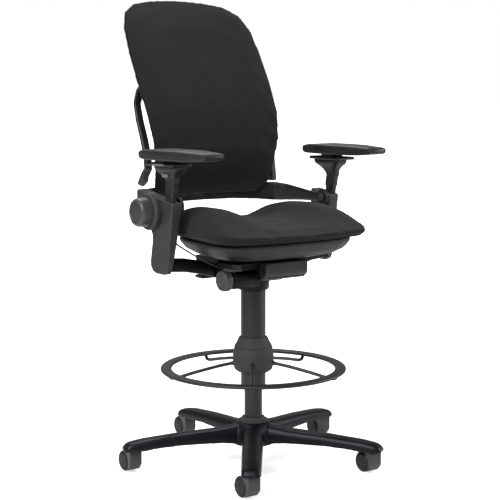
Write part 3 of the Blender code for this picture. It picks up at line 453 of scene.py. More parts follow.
def lathe(profile, segments=96, hollow=False):
    """Turn a profile of (radius, height) about Z. A solid one starts and ends on the axis."""
    body = profile if hollow else [p for p in profile if p[0] > 0]
    rings = []
    for radius, height in body:
        rings.append([Vector((radius * math.cos(a), radius * math.sin(a), height))
                      for a in (math.tau * k / segments for k in range(segments))])
    return skin(rings, closed=hollow)


def eased_profile(corners, steps=4):
    """Round a profile's corners: each is (radius, height) or (radius, height, rounding)."""
    made = []
    for i, corner in enumerate(corners):
        here = Vector(corner[:2])
        rounding = corner[2] if len(corner) > 2 else 0.0
        if not rounding:
            made.append(tuple(here))
            continue
        before = Vector(corners[i - 1][:2]) - here
        after = Vector(corners[(i + 1) % len(corners)][:2]) - here
        reach = min(rounding, before.length * 0.49, after.length * 0.49)
        start, end = here + before.normalized() * reach, here + after.normalized() * reach
        for s in range(steps + 1):
            t = s / steps
            made.append(tuple(start * (1 - t) ** 2 + here * 2 * t * (1 - t) + end * t * t))
    return made


def bent(value, power):
    """A sine or cosine bent towards a square's, with its sign kept."""
    return math.copysign(abs(value) ** power, value)


def rounded_ring(middle, across, other, a, b, power, count, phase=0.0):
    """Points of a rounded box about a middle, with half sizes a and b."""
    ring = []
    for k in range(count):
        angle = math.tau * (k + phase) / count
        ring.append(middle + across * (bent(math.cos(angle), power) * a)
                    + other * (bent(math.sin(angle), power) * b))
    return ring


def tube(path, sizes, wide, segments=24):
    """Sweep an oval section along a path. sizes are half width (along wide) and half depth."""
    rings = []
    for i, here in enumerate(path):
        ahead = (path[min(i + 1, len(path) - 1)] - path[max(i - 1, 0)]).normalized()
        across = (wide - ahead * wide.dot(ahead)).normalized()
        a, b = sizes[i] if isinstance(sizes, list) else sizes
        rings.append(rounded_ring(here, across, ahead.cross(across), a, b, 1.0, segments))
    return skin(rings)


def turned_to(bm, axis, origin):
    """Point a shape that was drawn about Z along an axis, and set it at an origin."""
    turn = UP.rotation_difference(Vector(axis)).to_matrix().to_4x4()
    matrix = Matrix.Translation(origin) @ turn
    bmesh.ops.transform(bm, matrix=matrix, verts=bm.verts)
    return bm


def moved(bm, offset):
    bmesh.ops.translate(bm, verts=bm.verts, vec=offset)
    return bm


def spun(bm, angle):
    bmesh.ops.rotate(bm, verts=bm.verts, cent=(0, 0, 0), matrix=Matrix.Rotation(angle, 3, "Z"))
    return bm


def mirrored(bm):
    bmesh.ops.transform(bm, matrix=MIRROR, verts=bm.verts)
    return bm


def on_column(corners, segments=96, hollow=True):
    """A profile with eased corners, turned about the column's axis."""
    return moved(lathe(eased_profile(corners), segments, hollow), SHIFT)


def facing_right(corners, origin, segments=96):
    """A profile with eased corners, turned about an axis that points to the chair's right."""
    return turned_to(lathe(eased_profile(corners), segments), RIGHT, origin)


def fluted(bm, count, depth, inner, top=math.inf):
    """Press even grooves into a knob drawn about Z, outside a radius and below a height."""
    for v in bm.verts:
        if math.hypot(v.co.x, v.co.y) > inner and v.co.z < top:
            pull = 1 - depth * max(0.0, math.cos(math.atan2(v.co.y, v.co.x) * count)) ** 2
            v.co.x *= pull
            v.co.y *= pull
    return bm


def linked(name, data):
    """A new object in the scene."""
    obj = bpy.data.objects.new(name, data)
    bpy.context.scene.collection.objects.link(obj)
    return obj


def mesh_of(name, bm):
    """A new mesh from a closed bmesh, its faces turned outwards; the bmesh is used up."""
    bmesh.ops.recalc_face_normals(bm, faces=bm.faces)
    mesh = bpy.data.meshes.new(name)
    bm.to_mesh(mesh)
    bm.free()
    return mesh


def joined(shapes):
    """Several closed shapes in one bmesh."""
    whole = bmesh.new()
    for bm in shapes:
        scratch = mesh_of("scratch", bm)
        whole.from_mesh(scratch)
        bpy.data.meshes.remove(scratch)
    return whole


def piece(name, bm, material, body, replaced=(), sharp=40.0):
    """Make a named piece that rides on a body and takes its finish from a slot."""
    return piece_of_mesh(name, mesh_of(name, bm), material, body, replaced, sharp)


def piece_of_mesh(name, mesh, material, body, replaced=(), sharp=40.0):
    mesh.materials.clear()
    mesh.materials.append(bpy.data.materials[material])
    mesh.shade_smooth()
    mesh.set_sharp_from_angle(angle=math.radians(sharp))
    obj = linked(name, mesh)
    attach(obj, body)
    if replaced:
        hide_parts(*replaced)
    return obj


def settled(obj, name):
    """The mesh of an object with its modifiers applied; the object is removed."""
    graph = bpy.context.evaluated_depsgraph_get()
    mesh = bpy.data.meshes.new_from_object(obj.evaluated_get(graph))
    mesh.name = name
    bpy.data.objects.remove(obj)
    return mesh


WELD = 1e-5


def welded_copy(node):
    """A loose copy of a CAD node with its split corners joined again."""
    bm = bmesh.new()
    bm.from_mesh(NODES[node].data)
    bmesh.ops.remove_doubles(bm, verts=bm.verts, dist=WELD)
    return linked(node + "_copy", mesh_of(node + "_copy", bm))


def relaxed(obj, voxel, rounds, name):
    """The mesh of an object as an even surface with soft corners; the object is removed."""
    remesh = obj.modifiers.new("even", "REMESH")
    remesh.mode, remesh.voxel_size = "VOXEL", voxel
    relax = obj.modifiers.new("relax", "SMOOTH")
    relax.factor, relax.iterations = 0.5, rounds
    return settled(obj, name)


def cast_copy(node, voxel, rounds):
    """A CAD node's shape as a casting or a moulding with soft corners."""
    return relaxed(welded_copy(node), voxel, rounds, node + "_cast")


def rounded_node(node, material, width=None, segments=3, angle=32.0):
    """Keep a CAD node's shape, round its edges and give it a finish."""
    obj = NODES[node]
    plastic = bpy.context.scene.chair_plastic
    custom = obj.data.attributes.get("custom_normal")
    if custom:
        obj.data.attributes.remove(custom)
    weld = obj.modifiers.new("weld", "WELD")
    weld.merge_threshold = WELD
    bevel = obj.modifiers.new("edges", "BEVEL")
    bevel.width = plastic.edge_round if width is None else width
    bevel.segments = segments
    bevel.limit_method = "ANGLE"
    bevel.angle_limit = math.radians(angle)
    bevel.harden_normals = True
    for face in obj.data.polygons:
        face.use_smooth = True
    obj.data.materials.clear()
    obj.data.materials.append(bpy.data.materials[material])
    return obj


def screw(name, origin, axis, radius, body):
    """A pan-head screw with a six-sided socket."""
    rim, crown, edge = radius * 0.5, radius * 0.62, radius * 0.3
    head = lathe(eased_profile([(0, 0), (radius, 0), (radius, rim, edge), (radius * 0.5, crown),
                                (0, crown)]), 32)
    hole, bottom, clear = radius * 0.42, radius * 0.30, radius * 0.9
    socket = lathe([(0, bottom), (hole, bottom), (hole, clear), (0, clear)], 6)
    return piece(name, turned_to(cut(head, socket), axis, origin), "zinc_screw", body)


def cut(base, tool, operation="DIFFERENCE"):
    """Boolean of two closed bmeshes; both are used up."""
    pair = [linked("scratch", mesh_of("scratch", bm)) for bm in (base, tool)]
    modifier = pair[0].modifiers.new("cut", "BOOLEAN")
    modifier.operation = operation
    modifier.solver = "EXACT"
    modifier.object = pair[1]
    graph = bpy.context.evaluated_depsgraph_get()
    result = bmesh.new()
    result.from_mesh(pair[0].evaluated_get(graph).to_mesh())
    for scratch in pair:
        bpy.data.objects.remove(scratch)
    return result


EVEN_ROUNDS = 6     # how often a cushion's swelling is evened out between neighbours
SLACK = 0.55        # share of the swelling that a cushion is first drawn in by
CUSHION_VOXEL, CUSHION_ROUNDS = 0.0045, 14


def cushion_blank(node):
    """A CAD cushion as an even, soft-cornered surface that can be swollen."""
    name = node + "_blank"
    return linked(name, relaxed(welded_copy(node), CUSHION_VOXEL, CUSHION_ROUNDS, name))


def upholstered(name, blank, cloth, body, node):
    """Make a cushion's piece from its swollen blank."""
    level = blank.modifiers.new("fine", "SUBSURF")
    level.levels = level.render_levels = 1
    made = piece_of_mesh(name, settled(blank, name), cloth, body, [node], EVERY_ANGLE)
    return made


def evened(mesh, pushes):
    """Average each vertex's movement with its neighbours', so that no crease is left."""
    total, count = [p.copy() for p in pushes], [1] * len(pushes)
    for edge in mesh.edges:
        a, b = edge.vertices
        total[a] += pushes[b]
        total[b] += pushes[a]
        count[a] += 1
        count[b] += 1
    return [t / c for t, c in zip(total, count)]


def inflate(copy, cap, held, pressure=4.0):
    """Swell a closed cushion with cloth pressure; held(normal, point) is the share that stays."""
    steps = bpy.context.scene.chair_upholstery.cloth_steps
    mesh = copy.data
    rest = [v.co.copy() for v in mesh.vertices]
    normals = [v.normal.copy() for v in mesh.vertices]
    keep = [held(n, p) for n, p in zip(normals, rest)]
    for v, n, k in zip(mesh.vertices, normals, keep):
        v.co -= n * cap * SLACK * (1 - k)
    start = [v.co.copy() for v in mesh.vertices]
    pins = copy.vertex_groups.new(name="pins")
    for i, k in enumerate(keep):
        if k > 0:
            pins.add([i], k, "REPLACE")
    cloth = copy.modifiers.new("swell", "CLOTH")
    fabric = cloth.settings
    fabric.quality, fabric.mass = 5, 0.3
    fabric.tension_stiffness = fabric.compression_stiffness = 18
    fabric.bending_stiffness = 0.6
    fabric.use_pressure, fabric.uniform_pressure_force = True, pressure
    fabric.effector_weights.gravity = 0
    fabric.vertex_group_mass = "pins"
    cloth.point_cache.frame_start, cloth.point_cache.frame_end = 1, steps
    for number in range(1, steps + 1):
        bpy.context.scene.frame_set(number)
    graph = bpy.context.evaluated_depsgraph_get()
    swollen = [v.co.copy() for v in copy.evaluated_get(graph).data.vertices]
    copy.modifiers.remove(cloth)
    bpy.context.scene.frame_set(1)
    pushes = [b - a for a, b in zip(start, swollen)]
    for _ in range(EVEN_ROUNDS):
        pushes = evened(mesh, pushes)
    for v, a, push, k in zip(mesh.vertices, start, pushes, keep):
        if push.length > cap * (1 - k):
            push *= cap * (1 - k) / push.length
        v.co = a + push


# ---- Stage -----------------------------------------------------------------------------------
FLOOR_SIZE = 60.0
FLOOR_NEAR, FLOOR_FAR = 0.8, 2.6   # the floor brightens between these distances from its middle
FAR_GLOW = 1.6
AIM = Vector((0, 0, 0.65))         # what the lights point at
CAMERA_PLACE = (-2.0524, -2.8248, 1.0042)
CAMERA_DROP, CAMERA_YAW = 0.1239, -0.6283
SENSOR, CAMERA_SHIFT = 36.0, -0.0065


class CHAIR_OT_stage(bpy.types.Operator):
    """Set up the floor, the lights and the camera"""
    bl_idname = "chair.stage"
    bl_label = "Stage"

    def execute(self, context):
        settings = context.scene.chair_stage
        world = bpy.data.worlds.new("studio")
        context.scene.world = world
        world.use_nodes = True
        t = Tree(world.node_tree)
        sky = world.node_tree.nodes["Background"]
        sky.inputs[0].default_value = WHITE
        seen = t.add("ShaderNodeLightPath").outputs["Is Camera Ray"]
        t.feed(sky.inputs[1], t.span(seen, 0.0, 1.0, settings.world_strength, 1.0))
        context.scene.view_settings.view_transform = "Standard"
        self.floor(settings)
        lights = (("key", settings.key_power, 2.2, (-2.4, -1.0, 2.6)),
                  ("fill", settings.fill_power, 1.2, (2.6, -1.4, 1.5)),
                  ("top", settings.fill_power, 1.6, (0.4, 1.4, 3.0)))
        for name, power, size, where in lights:
            light = bpy.data.lights.new(name, "AREA")
            light.energy, light.size = power, size
            lamp = linked(name, light)
            lamp.location = where
            lamp.rotation_euler = (AIM - Vector(where)).to_track_quat("-Z", "Y").to_euler()
        lens = bpy.data.cameras.new("camera")
        lens.lens, lens.sensor_width, lens.shift_x = settings.lens, SENSOR, CAMERA_SHIFT
        camera = linked("camera", lens)
        camera.location = Vector(CAMERA_PLACE) + SHIFT
        camera.rotation_euler = (math.pi / 2 - CAMERA_DROP, 0, CAMERA_YAW)
        context.scene.camera = camera
        return {"FINISHED"}

    def floor(self, settings):
        """A matt floor that looks brighter the further off it is, so that no edge shows."""
        bm = bmesh.new()
        bmesh.ops.create_grid(bm, x_segments=2, y_segments=2, size=FLOOR_SIZE)
        mesh = bpy.data.meshes.new("floor")
        bm.to_mesh(mesh)
        bm.free()
        material, t, shader = start_material("floor_paper")
        preset(shader, Base_Color=rgba(settings.floor_colour), Roughness=0.95,
               Specular_IOR_Level=0.1, Emission_Color=WHITE)
        seen = t.add("ShaderNodeLightPath").outputs["Is Camera Ray"]
        place = t.add("ShaderNodeTexCoord").outputs["Object"]
        away = t.add("ShaderNodeVectorMath", {"operation": "LENGTH"}, _0=place).outputs["Value"]
        glow = t.span(away, FLOOR_NEAR, FLOOR_FAR, settings.floor_glow, FAR_GLOW)
        t.feed(shader.inputs["Emission Strength"], t.times(seen, glow))
        mesh.materials.append(material)
        linked("floor", mesh)


# ---- Base and casters ------------------------------------------------------------------------
def arm_angles():
    """Directions of the five base arms, read from the casters' places."""
    made = []
    for k in range(1, ARM_COUNT + 1):
        stem = Vector(JOINTS[f"caster_swivel_{k}"]["pos_m"]) - COLUMN
        made.append(math.atan2(stem.y, stem.x))
    return made


class CHAIR_OT_base(bpy.types.Operator):
    """Build the five-arm base"""
    bl_idname = "chair.base"
    bl_label = "Five-arm Base"

    # tables of distance from the column's axis: height above the floor, or half an arm's width
    top = [(0.030, 0.1105), (0.060, 0.1050), (0.100, 0.0998), (0.200, 0.0946), (0.300, 0.0862),
           (0.335, 0.0800), (0.3475, 0.0735), (0.3525, 0.0660)]
    under = [(0.030, 0.058), (0.100, 0.0645), (0.200, 0.0660), (0.270, 0.0625), (0.300, 0.0580)]
    half = [(0.030, 0.0300), (0.100, 0.0275), (0.300, 0.0255), (0.335, 0.0250), (0.3475, 0.0225),
            (0.3525, 0.0180)]

    start, end = 0.030, 0.3525                     # how far the arms run, from the column's axis
    pocket_start, pocket_end = 0.070, 0.295        # the hollow under an arm
    wall, pocket_floor = 0.0042, 0.045
    bore = 0.0241                                  # hole for the column's tube
    squareness, section_points = 0.62, 32
    voxel, rounds = 0.0018, 12

    def section(self, radius, inset, floor):
        """An arm's section at a distance from the axis, flat below and arched above."""
        half, top = at(self.half, radius) - inset, at(self.top, radius) - inset
        ring = []
        for k in range(self.section_points + 1):
            angle = math.pi * k / self.section_points
            ring.append(Vector((radius, bent(math.cos(angle), self.squareness) * half,
                                floor + (top - floor) * math.sin(angle) ** self.squareness)))
        return ring

    def execute(self, context):
        hub = lathe(eased_profile([(0, 0.0545), (0.056, 0.0545), (0.060, 0.062, 0.004),
                                   (0.0585, 0.082), (0.0525, 0.099, 0.004), (0.044, 0.1095, 0.004),
                                   (0.040, 0.1125), (0, 0.1125)]))
        radii = [self.start + (self.end - self.start) * k / 40 for k in range(41)]
        hollow = [self.pocket_start + (self.pocket_end - self.pocket_start) * k / 16
                  for k in range(17)]
        for angle in arm_angles():
            arm = skin([self.section(r, 0.0, at(self.under, r)) for r in radii])
            hub = cut(hub, spun(arm, angle), "UNION")
        for angle in arm_angles():
            pocket = skin([self.section(r, self.wall, self.pocket_floor) for r in hollow])
            hub = cut(hub, spun(pocket, angle))
        bore = lathe([(0, 0.04), (self.bore, 0.04), (self.bore, 0.13), (0, 0.13)], 64)
        hub = moved(cut(hub, bore), SHIFT)
        blank = linked("base_blank", mesh_of("base_blank", hub))
        casting = relaxed(blank, self.voxel, self.rounds, "base_casting")
        piece_of_mesh("base_casting", casting, "base_paint", "base",
                      ["base_star"], EVERY_ANGLE)
        collar = on_column([(self.bore, 0.1130), (0.0385, 0.1130), (0.0385, 0.1182, 0.001),
                            (0.0318, 0.1200, 0.001), (0.0300, 0.1255, 0.001),
                            (self.bore, 0.1255)])
        piece("base_collar_ring", collar, "trim_plastic", "base", ["base_collar"])
        return {"FINISHED"}


class CHAIR_OT_casters(bpy.types.Operator):
    """Build the five twin-wheel casters"""
    bl_idname = "chair.casters"
    bl_label = "Casters"

    radius, width = 0.027, 0.012       # of one wheel
    gap = 0.0065                       # from the web's middle to a wheel's inner face
    washer_height = 0.0565

    def wheel(self):
        """A wheel about Z, its outer face up: crowned tread, groove, dished face and hub cap."""
        r, w = self.radius, self.width
        profile = [(0, 0.0090), (0.0034, 0.0090), (0.0034, 0), (r - 0.0025, 0),
                   (r - 0.0004, 0.0010, 0.0008), (r, 0.0040), (r - 0.0001, 0.0062, 0.001),
                   (r - 0.0030, 0.0096, 0.0015), (r - 0.0052, 0.0107), (r - 0.0058, 0.0098),
                   (r - 0.0066, 0.0109), (0.0150, 0.0119, 0.001), (0.0125, 0.0112, 0.0008),
                   (0.0105, 0.0112, 0.0008), (0.0092, w, 0.0008), (0.0040, w + 0.0002), (0, w)]
        return lathe(eased_profile(profile, 3), 64)

    def execute(self, context):
        for k in range(1, ARM_COUNT + 1):
            for side, sign in SIDES:
                axle = Vector(JOINTS[f"wheel_spin_{k}_{side}"]["pos_m"])
                inner = axle + Vector((sign * self.gap, 0, 0))
                bm = turned_to(self.wheel(), (sign, 0, 0), inner)
                piece(f"caster_wheel_{k}_{side}", bm, "tread_urethane", f"wheel_{k}_{side}",
                      [f"wheel_{k}_{side}"], 50.0)
            rounded_node(f"caster_hood_{k}", "caster_plastic", 0.0012)
            stem = Vector(JOINTS[f"caster_swivel_{k}"]["pos_m"])
            washer = lathe(eased_profile([(0, 0.0), (0.0125, 0.0, 0.0006), (0.0125, 0.0012, 0.0006),
                                          (0, 0.0012)]), 48)
            moved(washer, Vector((stem.x, stem.y, self.washer_height)))
            piece(f"caster_washer_{k}", washer, "ground_steel", f"caster_{k}")
        return {"FINISHED"}


# ---- Column and foot ring --------------------------------------------------------------------
class CHAIR_OT_column(bpy.types.Operator):
    """Build the gas column and its sleeves"""
    bl_idname = "chair.column"
    bl_label = "Column"

    def execute(self, context):
        tube_wall = on_column([(0, 0.0520), (0.0237, 0.0520), (0.0237, 0.400, 0.001),
                               (0.0215, 0.400), (0.0215, 0.056), (0, 0.056)], hollow=False)
        piece("column_tube", tube_wall, "column_paint", "base", ["lower_tube"])
        sleeve = on_column([(0.0144, 0.4605), (0.0300, 0.4605), (0.0300, 0.203),
                            (0.0328, 0.203, 0.0010), (0.0328, 0.2065, 0.0004),
                            (0.0324, 0.2070), (0.0324, 0.2078), (0.0328, 0.2083, 0.0004),
                            (0.0328, 0.4655, 0.0014), (0.0144, 0.4655)], 128)
        piece("column_sleeve", sleeve, "column_paint", "lift", ["upper_sleeve"])
        for node, material in (("guide_bush", "bush_plastic"), ("piston_rod", "ground_steel"),
                               ("gas_cylinder", "column_paint"), ("sleeve_bush", "bush_plastic")):
            rounded_node(node, material, 0.0003, 2)
        return {"FINISHED"}


class CHAIR_OT_foot_ring(bpy.types.Operator):
    """Build the foot ring, its hub and its lock collar"""
    bl_idname = "chair.foot_ring"
    bl_label = "Foot Ring"

    bore = 0.0332                              # of the hub, around the sleeve
    middle, height = 0.2305, 0.256             # centre line of the ring
    half_width, half_depth = 0.0146, 0.0052    # of the ring's section
    spoke = 0.0045                             # radius of a spoke

    def execute(self, context):
        bore = self.bore
        hub = on_column([(bore, 0.247), (0.0400, 0.247, 0.001), (0.0500, 0.2540, 0.003),
                         (0.0540, 0.270, 0.004), (0.0540, 0.2800, 0.0006), (0.0534, 0.2806),
                         (0.0534, 0.2816), (0.0540, 0.2822, 0.0006), (0.0540, 0.296, 0.004),
                         (0.0500, 0.3145, 0.0012), (bore, 0.3145)], 128)
        piece("ring_hub_shell", hub, "trim_plastic", "ring", ["ring_hub"])
        collar = on_column([(bore, 0.3149), (0.0497, 0.3149, 0.001), (0.0492, 0.3172, 0.0006),
                            (0.0440, 0.3260, 0.003), (0.0380, 0.3390, 0.002),
                            (0.0360, 0.3410, 0.001), (bore, 0.3410)], 128)
        piece("ring_lock_cone", collar, "trim_plastic", "ring_lock",
              ["ring_lock_collar"])
        section = rounded_ring(Vector((self.middle, self.height)), Vector((1, 0)), Vector((0, 1)),
                               self.half_width, self.half_depth, 0.72, 28)
        shapes = [lathe(section, 160, True)]
        for angle in arm_angles():
            route = [(0.0545, 0, 0.2722), (0.100, 0, 0.2652), (0.160, 0, 0.2530),
                     (0.205, 0, 0.2424), (0.2160, 0, 0.2412), (0.2245, 0, 0.2430),
                     (0.2300, 0, 0.2510)]
            spoke = tube(smooth_curve(route, 8), (self.spoke, self.spoke), ACROSS, 20)
            foot = tube([Vector((0.0530 + 0.0013 * k, 0, 0.2724 - 0.0002 * k)) for k in range(6)],
                        [(0.0072 - 0.0004 * k, 0.0072 - 0.0004 * k) for k in range(6)],
                        ACROSS)
            shapes += [spun(spoke, angle), spun(foot, angle)]
        piece("foot_ring_tube", moved(joined(shapes), SHIFT), "column_paint", "ring",
              ["foot_ring"], 50.0)
        return {"FINISHED"}


# ---- Mechanism under the seat ----------------------------------------------------------------
class CHAIR_OT_mechanism(bpy.types.Operator):
    """Finish the tilt mechanism, its covers, bars and cable"""
    bl_idname = "chair.mechanism"
    bl_label = "Mechanism"

    axis_y, axis_z = -0.092, 0.512         # axis of the tension spring's barrel and knob
    underside = 0.4941
    screws = [(-0.040, 0.085), (0.040, 0.085), (-0.040, -0.040), (0.040, -0.040)]

    def execute(self, context):
        for node, material, width in (
                ("mechanism_housing", "mechanism_paint", 0.0010),
                ("front_cover", "cover_plastic", 0.0022),
                ("side_bar_right", "mechanism_paint", 0.001),
                ("side_bar_left", "mechanism_paint", 0.001),
                ("seat_carriage", "mechanism_paint", 0.0008),
                ("height_lever", "trim_plastic", 0.0012),
                ("depth_lever", "trim_plastic", 0.0010),
                ("control_cable", "cable_sheath", 0.0002)):
            rounded_node(node, material, width)
        barrel = facing_right([(0, 0), (0.0235, 0, 0.001), (0.0235, 0.0065, 0.0006),
                               (0.0225, 0.0072), (0.0225, 0.0086), (0.0235, 0.0093, 0.0006),
                               (0.0235, 0.0700, 0.001), (0.0222, 0.0712),
                               (0.0222, 0.0780, 0.001), (0, 0.0800)], self.on_axis(-0.0635))
        piece("tension_barrel", barrel, "mechanism_paint", "chassis",
              ["cross_tube"])
        knob = lathe(eased_profile([(0, 0), (0.0180, 0, 0.001), (0.0262, 0.0030, 0.001),
                                    (0.0265, 0.0050), (0.0265, 0.0180, 0.002),
                                    (0.0240, 0.0225, 0.001), (0.0196, 0.0226, 0.0008),
                                    (0.0188, 0.0208, 0.0006), (0.0120, 0.0208),
                                    (0.0110, 0.0214, 0.0005), (0, 0.0216)]), 120)
        fluted(knob, count=20, depth=0.022, inner=0.0255)
        piece("tension_grip", turned_to(knob, RIGHT, self.on_axis(-0.1440)), "knob_plastic",
              "tension_knob", ["tension_knob"])
        face = facing_right([(0, 0.0), (0.0182, 0.0), (0.0176, 0.0012, 0.0005), (0.0105, 0.0010),
                             (0.0100, 0.0016, 0.0004), (0, 0.0018)], self.on_axis(-0.1648))
        piece("tension_face", face, "knob_face_plastic", "tension_knob")
        for k, (x, y) in enumerate(self.screws):
            screw(f"housing_screw_{k + 1}", Vector((x, y + SHIFT.y, self.underside)), DOWN, 0.005,
                  "chassis")
        return {"FINISHED"}

    def on_axis(self, x):
        """A point on the tension spring's axis."""
        return Vector((x, self.axis_y + SHIFT.y, self.axis_z))


# ---- Arm uprights, stems and pads ------------------------------------------------------------
class CHAIR_OT_uprights(bpy.types.Operator):
    """Finish the arm uprights and their pivot pins"""
    bl_idname = "chair.uprights"
    bl_label = "Arm Uprights"

    def execute(self, context):
        for side, _ in SIDES:
            rounded_node(f"arm_upright_{side}", "arm_shell_plastic", 0.0026, 4)
            rounded_node(f"pivot_pin_{side}", "trim_plastic", 0.0006)
        return {"FINISHED"}


class CHAIR_OT_firmness_knob(bpy.types.Operator):
    """Build the large ribbed knob on the right upright"""
    bl_idname = "chair.firmness_knob"
    bl_label = "Firmness Knob"

    mark_count = 12        # raised lines on the dial
    sunk = 0.0038          # how deep the dial sits in the grip

    def execute(self, context):
        origin = Vector(JOINTS["firmness_knob_turn"]["pos_m"])
        low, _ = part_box("firmness_knob")
        reach = origin.x - low.x
        foot = facing_right([(0, 0.0004), (0.0455, 0.0004, 0.001), (0.0468, 0.0120, 0.002),
                             (0.0440, 0.0168, 0.002), (0.0385, 0.0178, 0.001),
                             (0.0375, 0.0172), (0, 0.0172)], origin, 120)
        piece("firmness_flange", foot, "trim_plastic", "firmness_knob",
              ["firmness_knob"])
        grip = lathe(eased_profile([(0, 0.0174), (0.0372, 0.0174), (0.0378, 0.0190, 0.0008),
                                    (0.0366, 0.0400, 0.004), (0.0345, 0.0468, 0.003),
                                    (0.0300, reach - 0.0004, 0.003),
                                    (0.0264, reach, 0.001), (0.0254, reach - 0.0026, 0.0008),
                                    (0.0245, reach - 0.0036), (0, reach - 0.0036)]), 180)
        fluted(grip, count=30, depth=0.012, inner=0.0340, top=reach - 0.004)
        piece("firmness_grip", turned_to(grip, RIGHT, origin), "knob_plastic", "firmness_knob")
        marks = [lathe(eased_profile([(0, 0.0), (0.0244, 0.0), (0.0240, 0.0016, 0.0006),
                                      (0.0180, 0.0022, 0.001), (0, 0.0030)]))]
        for k in range(self.mark_count):
            line = tube([Vector((0.0150, 0, 0.0022)), Vector((0.0195, 0, 0.0020))],
                        (0.00045, 0.0005), ACROSS, 8)
            marks.append(spun(line, math.tau * k / self.mark_count))
        dial = turned_to(joined(marks), RIGHT, origin - Vector((reach - self.sunk, 0, 0)))
        piece("firmness_face", dial, "knob_face_plastic", "firmness_knob")
        return {"FINISHED"}


class CHAIR_OT_armrests(bpy.types.Operator):
    """Build the armrest stems, sliding plates and buttons"""
    bl_idname = "chair.armrests"
    bl_label = "Armrest Stems"

    lean = math.radians(8.0)
    stem_x, foot_y, foot_z = 0.2565, -0.0020, 0.700
    flare_height = 0.785               # the flared top is set out from the axis at this height
    bar_length, bar_gap, bar_bulge = 0.052, 0.0012, 0.0008
    # height, half width, half depth and, in the flared top, how far it is set back
    rows = [(0.5852, 0.0062, 0.0158, None), (0.5870, 0.0070, 0.0165, None),
            (0.640, 0.0070, 0.0165, None), (0.719, 0.0070, 0.0165, None),
            (0.729, 0.0094, 0.0178, None), (0.745, 0.0096, 0.0180, None),
            (0.7580, 0.0100, 0.0192, 0.0020), (0.7670, 0.0112, 0.0225, 0.0050),
            (0.7750, 0.0136, 0.0292, 0.0080), (0.7815, 0.0165, 0.0390, 0.0105),
            (0.7870, 0.0200, 0.0475, 0.0120), (0.7925, 0.0216, 0.0512, 0.0120),
            (0.7965, 0.0219, 0.0518, 0.0120), (0.7980, 0.0214, 0.0513, 0.0120)]

    def execute(self, context):
        middle = self.axis_y(self.flare_height)
        path, sizes = [], []
        for z, half_x, half_y, back in self.rows:
            y = self.axis_y(z) if back is None else middle + back
            path.append(Vector((self.stem_x, y, z)))
            sizes.append((half_x, half_y))
        for side, sign in SIDES:
            rings = [rounded_ring(here, Vector((1, 0, 0)), Vector((0, 1, 0)), a, b, 0.40, 48, 0.5)
                     for here, (a, b) in zip(path, sizes)]
            fine = [smooth_curve(column, 4) for column in zip(*rings)]
            stem = skin([list(ring) for ring in zip(*fine)])
            if sign < 0:
                mirrored(stem)
            piece(f"arm_post_{side}", moved(stem, SHIFT), "stem_plastic", f"arm_{side}",
                  [f"arm_stem_{side}"], 50.0)
            rounded_node(f"arm_button_{side}", "button_plastic", 0.0009)
            rounded_node(f"arm_slider_{side}", "stem_plastic", 0.0020)
            rounded_node(f"arm_turntable_{side}", "trim_plastic", 0.0008)
            self.release(side, sign)
        return {"FINISHED"}

    def axis_y(self, z):
        """Where the leaning stem's middle is at a height."""
        return self.foot_y - (z - self.foot_z) * math.tan(self.lean)

    def release(self, side, sign):
        """The thin release bar on a sliding plate's outer edge."""
        low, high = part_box(f"arm_slider_{side}")
        edge = high.x if sign > 0 else low.x
        y, z = (low.y + high.y) / 2, (low.z + high.z) / 2
        steps = 12
        bar, sizes = [], []
        for k in range(steps + 1):
            bulge = self.bar_bulge * math.sin(math.pi * k / steps)
            taper = math.sin(math.pi * (k + 0.8) / (steps + 1.6)) ** 0.4
            bar.append(Vector((edge + sign * (self.bar_gap + bulge),
                               y + self.bar_length * (k / steps - 0.5), z)))
            sizes.append((0.0008 + 0.0022 * taper, 0.0014))
        piece(f"arm_release_{side}", tube(bar, sizes, UP, 16), "button_plastic",
              f"arm_slider_{side}")


